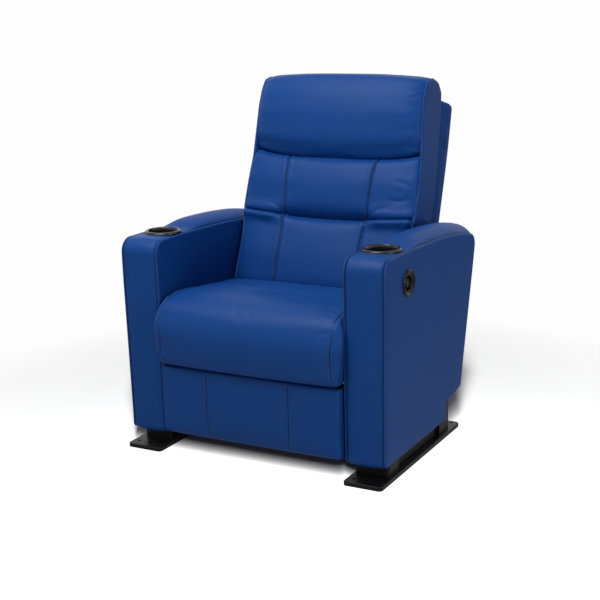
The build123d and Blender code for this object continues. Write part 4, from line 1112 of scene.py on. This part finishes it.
class RECLINER_OT_release(bpy.types.Operator):
    """Turn the dished bezel of the release, a cap for its paddle and a blue dome on the cap painted as
    a glint
    """
    bl_idname = "recliner.release"
    bl_label = "Release"

    def execute(self, context):
        y, z = BEZEL_MIDDLE[0] - 0.005, BEZEL_MIDDLE[1] - 0.003

        def leaned(points):
            """The bezel leans out with the arm's outer cover."""
            across, up, out = points.T
            return spots(out + 0.030 * up, y + across, z + up)

        def upright(points):
            across, up, out = points.T
            return spots(out, y + across, z + up)

        dish = [  # (radius, x)
            (0.0385, 0.4205), (0.0388, 0.4268), (0.0382, 0.4300), (0.0366, 0.4322), (0.0344, 0.4328),
            (0.0320, 0.4316), (0.0275, 0.4286), (0.0244, 0.4274), (0.0228, 0.4278), (0.0214, 0.4282),
            (0.0206, 0.4276), (0.0203, 0.4264), (0.0204, 0.4212), (0.0214, 0.4202), (0.0262, 0.4200),
            (0.0300, 0.4185)]
        bezel = turned("release_bezel", dish, 128, leaned, "satin plastic", ring=True)
        settle(bezel, "base", ["handle_bezel"])
        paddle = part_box("handle_paddle")[1].x
        button = [
            (0.0105, paddle - 0.0010), (0.0128, paddle - 0.0006), (0.0126, 0.4232), (0.0121, 0.4252),
            (0.0108, 0.4262), (0.0092, 0.4262), (0.0072, 0.4252), (0.0040, 0.4248)]
        cap = turned("release_button", button, 96, upright, "satin plastic")
        settle(cap, "handle", [])
        # A small blue dome in the cap's middle, painted as the blue glint there.
        bead = [(0.0028, 0.4240), (0.0031, 0.4254), (0.0026, 0.4264), (0.0012, 0.4269)]
        lens = turned("release_painted_glint", bead, 48, upright, "painted blue glint")
        settle(lens, "handle", [])
        return {"FINISHED"}


class RECLINER_OT_cups(bpy.types.Operator):
    """Turn the two cup holders with their soft liners"""
    bl_idname = "recliner.cups"
    bl_label = "Cup holders"

    def execute(self, context):
        wall = [  # (radius, height over the arm's top)
            (0.034, -0.0520), (0.040, -0.0505), (0.0418, -0.0465), (0.0419, -0.0012), (0.0540, -0.0012),
            (0.0552, 0.0004), (0.0554, 0.0034), (0.0546, 0.0058), (0.0526, 0.0078), (0.0500, 0.0089),
            (0.0474, 0.0091), (0.0460, 0.0088), (0.0449, 0.0078), (0.0440, 0.0055), (0.0428, 0.0015),
            (0.0402, -0.0060), (0.0399, -0.0300), (0.0396, -0.0440), (0.0380, -0.0480),
            (0.0340, -0.0496), (0.0180, -0.0500)]
        lining = [
            (0.0180, -0.0498), (0.0340, -0.0494), (0.0378, -0.0478), (0.0392, -0.0440),
            (0.0398, -0.0070), (0.0424, 0.0018), (0.0420, 0.0026), (0.0408, 0.0016), (0.0386, -0.0060),
            (0.0376, -0.0430), (0.0362, -0.0462), (0.0330, -0.0474), (0.0180, -0.0478)]
        for arm in ("left", "right"):
            x, y, _ = box_middle(f"{arm}_cup_holder")

            def place(points, rim=(x, y, ARM_TOP)):
                return points + np.array(rim)

            cup = turned(f"{arm}_cup", wall, 128, place, "gloss plastic")
            settle(cup, "base", [f"{arm}_cup_holder"])
            liner = turned(f"{arm}_cup_liner", lining, 96, place, "matt liner")
            settle(liner, "base", [])
        return {"FINISHED"}


class RECLINER_OT_seat(bpy.types.Operator):
    """Upholster the seat cushion with its front roll"""
    bl_idname = "recliner.seat"
    bl_label = "Seat cushion"

    def execute(self, context):
        outline = rounded_outline([
            (-0.030, 0.2765, 0.010), (0.022, 0.2765, 0.006), (0.022, 0.345, 0.006),
            (0.392, 0.345, 0.008), (0.392, 0.442, 0.022), (0.270, 0.452, 0.200), (0.160, 0.466, 0.150),
            (0.070, 0.474, 0.100), (-0.010, 0.462, 0.062), (-0.040, 0.390, 0.110),
            (-0.037, 0.300, 0.050)], 0.006)
        y, z = outline.T
        before_arms = onset(-y, 0.002, 0.0035)
        above_lip = rise(z, 0.30, 0.05)
        low_lip = rise(z, 0.335, -0.02) * (y < 0.03)
        wider = 0.0015 * (1 - low_lip) + 0.0145 * bell(z, 0.395, 0.070)
        half = SEAT_HALF + 0.0017 * low_lip + before_arms * wider
        seam = half - 0.008 - 0.018 * above_lip * before_arms - 0.008 * (1 - before_arms)
        scale = context.scene.recliner_padding.crown
        crown = scale * facing_crown(outline, front=0.010, top=0.006)
        roll = 0.006 + 0.014 * before_arms * above_lip
        rings = pad_points(outline, half, seam, crown, roll)
        cushion = pad_piece("seat_cushion_cover", rings, seat_place)

        def held(points):
            x, y, z = (points - np.array([0, FRONT_Y, 0])).T
            bottom = (z < 0.352) & (y > 0.030)
            rear = y > 0.380
            sides = (np.abs(x) > 0.280) & (y > -0.012)
            lip = z < 0.290
            seams = bell(np.abs(x), 0.286, 0.007) * (y < 0.06)
            return np.maximum(seams, (bottom | rear | sides | lip).astype(float))

        swell(cushion, held)
        surface = Surface(cushion)
        over = 0.53  # a height over the whole seat
        lines = []
        for side in (1, -1):
            z = np.linspace(0.288, 0.440, 30)
            bowed = 0.2845 + 0.0065 * ((z - 0.36) / 0.08) ** 2
            front = spots(side * bowed, -0.090, z)
            top = spots(side * 0.2895, np.linspace(-0.05, 0.110, 30), over)
            line = surface.lay(seat_place(np.vstack([front, top])))[0]
            line = resampled(smoothed(resampled(line, 0.004), 6), 0.003)
            press_line(cushion, line, 0.0032, 0.0028, pucker=0.0004)
            lines.append(line)
        x = np.linspace(-0.288, 0.288, 60)
        crease = spots(x, 0.196 + 0.05 * x + 0.006 * np.sin(x * 21), over)
        press_line(cushion, surface.lay(seat_place(crease))[0], 0.0055, 0.016, dark=0.0)
        stitches = Surface(cushion).beside(lines)
        finish_pad(cushion, "seat", ["seat_cushion"])
        stitch_rows("seat_stitching", stitches, "seat")
        return {"FINISHED"}


class RECLINER_OT_footrest(bpy.types.Operator):
    """Upholster the footrest panel in three fields"""
    bl_idname = "recliner.footrest"
    bl_label = "Footrest panel"

    def execute(self, context):
        low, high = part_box("footrest_pad")
        outline = rounded_outline([
            (0.0010, low.z + 0.001, 0.004), (0.0010, high.z - 0.001, 0.004), (-0.016, high.z, 0.006),
            (-0.0215, high.z - 0.010, 0.014), (-0.0225, 0.170, 0.300), (-0.0215, low.z + 0.012, 0.014),
            (-0.014, low.z + 0.0005, 0.008)], 0.004)
        half = SEAT_HALF + 0.0010 * ((outline[:, 1] - low.z) / (high.z - low.z))
        crown = context.scene.recliner_padding.crown * facing_crown(outline, front=0.003)
        rings = pad_points(outline, half, half - 0.007, crown, 0.004)
        pad = pad_piece("footrest_cover", rings, seat_place)

        def held(points):
            x, y, z = (points - np.array([0, FRONT_Y, 0])).T
            rear = y > -0.008
            rim = (z > high.z - 0.008) | (z < low.z + 0.008) | (np.abs(x) > 0.2860)
            return np.maximum(bell(np.abs(x), FOOT_SEAM, 0.006), (rear | rim).astype(float))

        swell(pad, held, cap=0.005)
        surface = Surface(pad)
        lines = []
        for side in (1, -1):
            z = np.linspace(low.z + 0.004, high.z - 0.003, 50)
            x = side * FOOT_SEAM + 0.010 * rise(z, 0.14, -0.08) ** 2 * (side < 0)
            line = surface.lay(seat_place(spots(x, -0.060, z)))[0]
            press_line(pad, line, 0.0026, 0.0028, pucker=0.0003)
            lines.append(line)
        stitches = Surface(pad).beside(lines)
        finish_pad(pad, "footrest", ["footrest_pad"])
        under, over = low.z + 0.004, high.z - 0.004
        strip = rounded_outline([(-0.006, under, 0.003), (0.013, under, 0.004), (0.013, over, 0.004),
                                 (-0.006, over, 0.003)], 0.006)
        for hand, side in (("left", 1), ("right", -1)):
            flap = cover_panel(f"{hand}_footrest_flap", strip, side * 0.2885, side, 0.0035, 0.0020,
                               0.0, seat_place, spacing=0.005)
            finish_pad(flap, "footrest", [])
        stitch_rows("footrest_stitching", stitches, "footrest")
        return {"FINISHED"}


def back_pad(name, corners, crown, held_front, cap=0.014, pressure=None):
    """One cushion of the back from its side view (n, u), swelled between its side seams.

    crown is what facing_crown() takes; held_front says how far its front is held at x and u.
    """
    outline = rounded_outline(corners, 0.005)
    crown = bpy.context.scene.recliner_padding.crown * facing_crown(outline, *crown)
    side = BACK_SEAM - 0.006
    rings = pad_points(outline, BACK_SEAM + 0.0025, side, crown, 0.006)
    piece = pad_piece(name, rings, bent_back_place)

    def held(points):
        x, n, u = back_local(points).T
        boards = (n > 0.015) | (np.abs(x) > side)
        return np.maximum(held_front(x, n, u), boards.astype(float))

    swell(piece, held, cap=cap, pressure=pressure)
    return piece


class RECLINER_OT_back(bpy.types.Operator):
    """Upholster the three cushions of the back and the bands along its sides"""
    bl_idname = "recliner.back"
    bl_label = "Back cushions"

    def execute(self, context):
        def quilted(x, n, u):
            return bell(np.abs(x), QUILT, 0.007) * (n < 0)

        def plain(x, n, u):
            return 0.7 * (u > 0.762)

        lower = back_pad("lower_back_cover", [
            (-0.060, 0.055, 0.020), (0.0385, 0.055, 0.004), (0.0385, TUCK, 0.004),
            (-0.066, TUCK, 0.006), (-0.092, 0.326, 0.022), (-0.104, 0.200, 0.200),
            (-0.100, 0.105, 0.060)], (0.012,), quilted)
        middle = back_pad("middle_back_cover", [
            (-0.058, TUCK + 0.0005, 0.006), (0.0385, TUCK + 0.0005, 0.003),
            (0.0385, FOLD - 0.0015, 0.003), (-0.060, FOLD - 0.0015, 0.006), (-0.088, 0.516, 0.024),
            (-0.096, 0.440, 0.120), (-0.086, 0.362, 0.040)], (0.018,), quilted)
        pillow = back_pad("headrest_cover", [
            (-0.054, FOLD, 0.006), (0.0385, FOLD, 0.003), (0.0385, 0.695, 0.050), (0.026, 0.755, 0.030),
            (-0.008, 0.7785, 0.026), (-0.060, 0.7785, 0.024), (-0.096, 0.758, 0.030),
            (-0.1100, 0.712, 0.070), (-0.1110, 0.650, 0.100), (-0.096, 0.578, 0.050),
            (-0.068, 0.538, 0.020)], (0.034, 0.002, 0.002), plain, cap=0.010,
            pressure=0.6 * context.scene.recliner_padding.pressure)
        self.press(lower, middle, pillow)
        self.bands()
        return {"FINISHED"}

    def press(self, lower, middle, pillow):
        """Press the upright seams and the wrinkles into the cushions, and stitch the seams."""
        stitches = []
        for piece, low, high, bow in ((lower, 0.080, TUCK - 0.003, 0.0),
                                      (middle, TUCK + 0.003, FOLD - 0.004, 0.010)):
            for side in (1, -1):
                line = back_line_on(piece, upright_seam(side * QUILT, low, high, bow))
                press_line(piece, line, 0.0048, 0.0042, pucker=0.0004)
                stitches += Surface(piece).beside([line])
        wrinkles = [  # three (x, u), depth, width
            (middle, [(0.272, 0.402), (0.240, 0.390), (0.195, 0.392)], 0.0013, 0.006),
            (middle, [(0.270, 0.432), (0.235, 0.446), (0.212, 0.449)], 0.0010, 0.006),
            (middle, [(0.146, 0.350), (0.172, 0.366), (0.205, 0.372)], 0.0013, 0.005),
            (middle, [(-0.146, 0.350), (-0.165, 0.362), (-0.190, 0.366)], 0.0011, 0.005),
            (pillow, [(0.274, 0.730), (0.262, 0.724), (0.250, 0.724)], 0.0011, 0.003),
            (pillow, [(0.274, 0.712), (0.258, 0.701), (0.246, 0.698)], 0.0011, 0.004),
            (pillow, [(0.272, 0.650), (0.250, 0.640), (0.222, 0.637)], 0.0006, 0.006),
            (pillow, [(0.272, 0.612), (0.246, 0.602), (0.225, 0.600)], 0.0006, 0.006)]
        for piece, corners, depth, width in wrinkles:
            front = -0.12 if piece == middle else -0.13
            line = smoothed(resampled([(x, front, u) for x, u in corners], 0.002), 20)
            press_line(piece, back_line_on(piece, line), depth, width, lift=0.7, taper=True, dark=0.0)
        for piece, node in ((lower, "lower_back_cushion"), (middle, "middle_back_cushion"),
                            (pillow, "headrest_pillow")):
            finish_pad(piece, "back", [node])
        stitch_rows("back_stitching", stitches, "back")

    def bands(self):
        """The side bands: one continuous boxing on each side, from the seat to over the pillow."""
        outline = rounded_outline([
            (-0.084, 0.058, 0.020), (0.030, 0.058, 0.010), (0.038, 0.300, 0.200), (0.038, 0.690, 0.080),
            (0.020, 0.754, 0.030), (-0.012, 0.777, 0.026), (-0.060, 0.777, 0.026),
            (-0.093, 0.757, 0.030), (-0.1035, 0.720, 0.060), (-0.1055, 0.670, 0.080),
            (-0.092, 0.574, 0.080), (-0.0825, 0.508, 0.120), (-0.088, 0.344, 0.200),
            (-0.105, 0.114, 0.080)], 0.004)
        front = outline[(outline[:, 0] < 0.0) & (outline[:, 1] > 0.10)]
        turn = np.arctan2(front[:, 1] - 0.45, front[:, 0] - 0.5) % (2 * math.pi)
        front = front[np.argsort(np.unwrap(turn))]
        rows = []
        for name, side in (("left", 1), ("right", -1)):
            band = cover_panel(f"{name}_back_band", outline, side * BACK_SEAM, side, 0.0090, 0.0085,
                               0.0014, widened_back_place)
            finish_pad(band, "back", [])
            seam = widened_back_place(spots(side * BACK_SEAM, *front.T))
            rows += Surface(band).beside(split_at_gaps(seam), sides=(-side,))
        stitch_rows("back_band_stitching", rows, "back")


class RECLINER_OT_shell(bpy.types.Operator):
    """Cover the outer back with its sloped front strips"""
    bl_idname = "recliner.shell"
    bl_label = "Back shell"

    def execute(self, context):
        bottom, top, wall, round_off = 0.005, 0.737, 0.009, 0.011
        half, strip = 0.2895, 0.274  # half its width, and where its front strips start
        rounding = round_off * np.sin(np.radians(np.linspace(8, 90, 10)))
        levels = np.concatenate([np.linspace(bottom, top - round_off, 110), top - round_off + rounding])
        rings = []
        for level in levels:
            over = max(level - (top - round_off), 0)
            inset = round_off - math.sqrt(max(round_off ** 2 - over ** 2, 0))
            rear = 0.1345 + 0.0035 * bell(level, 0.30, 0.25) - 0.014 * rise(level, 0.5, 0.23) ** 2
            out, front = half - inset, strip - inset
            outline = rounded_outline([
                (-front, 0.0402, 0.004), (front, 0.0402, 0.004), (out, 0.082, 0.010),
                (out, rear - inset, 0.020), (-out, rear - inset, 0.020), (-out, 0.082, 0.010)], 0.008)
            outline = resampled(outline, closed=True, count=220)
            rings.append(spots(*outline.T, level))
        shell = make_piece("back_shell_cover", back_place(np.vstack(rings)),
                           capped_faces(len(rings), len(rings[0])))
        work = bmesh.new()
        work.from_mesh(shell.data)
        work.verts.ensure_lookup_table()
        x, n, u = back_local(np.array([tuple(v.co) for v in work.verts])).T
        inner = (n < 0.0405) & (np.abs(x) < 0.268) & (u > 0.02) & (u < 0.715)
        open_front = [face for face in work.faces if all(inner[v.index] for v in face.verts)]
        bmesh.ops.delete(work, geom=open_front, context="FACES")
        work.to_mesh(shell.data)
        work.free()
        modified(shell, "SOLIDIFY", thickness=wall, offset=-1)
        relax(shell, 1, 0.3)
        rows = []
        surface = Surface(shell)
        u = np.linspace(0.05, top - 0.014, 80)
        for side in (1, -1):
            for x, n in ((half, 0.084), (0.2755, 0.044)):
                line = surface.lay(back_place(spots(side * x, n, u)))[0]
                press_line(shell, line, 0.0016, 0.0022)
                rows += surface.beside([line])
        finish_pad(shell, "back", ["back_shell"])
        stitch_rows("shell_stitching", rows, "back")
        return {"FINISHED"}


WHITE = 0.985  # of the background


class RECLINER_OT_stage(bpy.types.Operator):
    """Set the camera, the floor and the studio lights"""
    bl_idname = "recliner.stage"
    bl_label = "Stage"

    def execute(self, context):
        stage = context.scene.recliner_stage
        self.camera(context.scene, stage.lens)
        floor = self.floor()

        floor_alone = bpy.data.collections.new("floor_alone")
        all_but_floor = bpy.data.collections.new("all_but_floor")
        for group in (floor_alone, all_but_floor):
            group.objects.link(floor)
        all_but_floor.collection_objects[0].light_linking.link_state = "EXCLUDE"
        for lamp in (self.light("top_light", (-0.4, -1.25, 3.1), (0, 0, 0.4), 2.2, stage.key),
                     self.light("front_light", (-2.2, -3.0, 1.6), (0, 0, 0.5), 1.6, stage.front),
                     self.light("side_light", (3.4, -0.7, 0.9), (0.3, 0, 0.4), 1.3, stage.fill)):
            lamp.light_linking.receiver_collection = all_but_floor
        low_light = self.light("floor_light", (2.16, -3.90, 4.00), (0, 0, 0), 0.5, stage.floor)
        low_light.data.shape = "RECTANGLE"
        low_light.data.size_y = 3.4
        low_light.light_linking.receiver_collection = floor_alone

        self.room(context.scene, stage.world)
        context.scene.view_settings.view_transform = "Standard"
        return {"FINISHED"}

    def camera(self, scene, lens):
        """The camera at the photograph's angle."""
        yaw, pitch, roll = math.radians(28.93), math.radians(14.2), math.radians(-1.66)
        across = math.cos(pitch)
        ahead = Vector((-math.sin(yaw) * across, math.cos(yaw) * across, -math.sin(pitch)))
        right = Vector((math.cos(yaw), math.sin(yaw), 0))
        up = right.cross(ahead)
        turned_right = right * math.cos(roll) + up * math.sin(roll)
        turned_up = up * math.cos(roll) - right * math.sin(roll)
        data = bpy.data.cameras.new("camera")
        data.lens = lens
        data.sensor_width = 36
        data.shift_x = 0.0016
        camera = bpy.data.objects.new("camera", data)
        scene.collection.objects.link(camera)
        turn = Matrix((turned_right, turned_up, -ahead)).transposed().to_4x4()
        camera.matrix_world = Matrix.Translation((1.7484, -3.1254, 1.3319)) @ turn
        scene.camera = camera

    def floor(self):
        """A pale floor that fades to white away from the seat, where the camera sees it."""
        material, wire, coords = start_material("studio_floor")
        span = 14.0
        reach = wire.node("ShaderNodeVectorMath", {"operation": "LENGTH"}, {0: coords}, output="Value")
        far = (reach / span).ramp((0.060, 0.0), (0.105, 1.0))
        seen = wire.node("ShaderNodeLightPath", output="Is Camera Ray")
        tone = mixed(wire, seen, rgba((0.35,) * 3), rgba((0.96,) * 3))
        diffuse = wire.node("ShaderNodeBsdfDiffuse", None, {"Color": tone})
        glow = wire.node("ShaderNodeEmission", None, {"Color": rgba((WHITE,) * 3), "Strength": 1.0})
        surface = wire.node("ShaderNodeMixShader", None, {0: far * seen, 1: diffuse, 2: glow})
        wire.node("ShaderNodeOutputMaterial", None, {"Surface": surface})
        corners = [(-span, -span, 0), (span, -span, 0), (span, span, 0), (-span, span, 0)]
        floor = make_piece("floor", corners, [(0, 1, 2, 3)], material)
        return floor

    def room(self, scene, strength):
        """Even light all round, and white wherever the camera or a reflection sees past the floor."""
        world = bpy.data.worlds.new("room")
        scene.world = world
        world.use_nodes = True
        world.node_tree.nodes.clear()
        wire = Wire(world.node_tree)
        path = wire.node("ShaderNodeLightPath", output="Is Camera Ray")
        rays = path.socket.node.outputs
        glossy, through = (Wire(wire.tree, rays[kind])
                           for kind in ("Is Glossy Ray", "Is Transmission Ray"))
        seen = path + glossy + through
        strength = strength + seen.clamped() * (WHITE - strength)
        sky = wire.node("ShaderNodeBackground", None, {"Color": (1, 1, 1, 1), "Strength": strength})
        wire.node("ShaderNodeOutputWorld", None, {"Surface": sky})

    def light(self, name, place, target, size, power):
        """A round area light at a place, aimed at a target."""
        data = bpy.data.lights.new(name, "AREA")
        data.shape = "DISK"
        data.size = size
        data.energy = power
        lamp = bpy.data.objects.new(name, data)
        bpy.context.scene.collection.objects.link(lamp)
        aim = (Vector(target) - Vector(place)).to_track_quat("-Z", "Y")
        lamp.matrix_world = Matrix.LocRotScale(Vector(place), aim, None)
        return lamp


class RECLINER_PT_panel(bpy.types.Panel):
    """Sizes, colours and steps of the recliner seat"""
    bl_label = "Cinema recliner"
    bl_idname = "RECLINER_PT_panel"
    bl_space_type = "VIEW_3D"
    bl_region_type = "UI"
    bl_category = "Recliner"

    def draw(self, context):
        for name in SETTINGS:
            settings = getattr(context.scene, name)
            box = self.layout.box()
            for key in settings.__annotations__:
                box.prop(settings, key)
        for step in STEPS:
            self.layout.operator(step.bl_idname)


SETTINGS = {"recliner_leather": ReclinerLeather, "recliner_stitching": ReclinerStitching,
            "recliner_padding": ReclinerPadding, "recliner_stage": ReclinerStage}
STEPS = (RECLINER_OT_stage, RECLINER_OT_finishes, RECLINER_OT_arms, RECLINER_OT_release,
         RECLINER_OT_cups, RECLINER_OT_seat, RECLINER_OT_footrest, RECLINER_OT_back, RECLINER_OT_shell)


def register():
    for settings in SETTINGS.values():
        bpy.utils.register_class(settings)
    for step in (*STEPS, RECLINER_PT_panel):
        bpy.utils.register_class(step)
    for name, settings in SETTINGS.items():
        setattr(bpy.types.Scene, name, bpy.props.PointerProperty(type=settings))


def unregister():
    for name in SETTINGS:
        delattr(bpy.types.Scene, name)
    for step in (RECLINER_PT_panel, *reversed(STEPS)):
        bpy.utils.unregister_class(step)
    for settings in reversed(list(SETTINGS.values())):
        bpy.utils.unregister_class(settings)


def main():
    register()
    for step in STEPS:
        group, name = step.bl_idname.split(".")
        getattr(getattr(bpy.ops, group), name)()


if __name__ == "__main__":
    main()
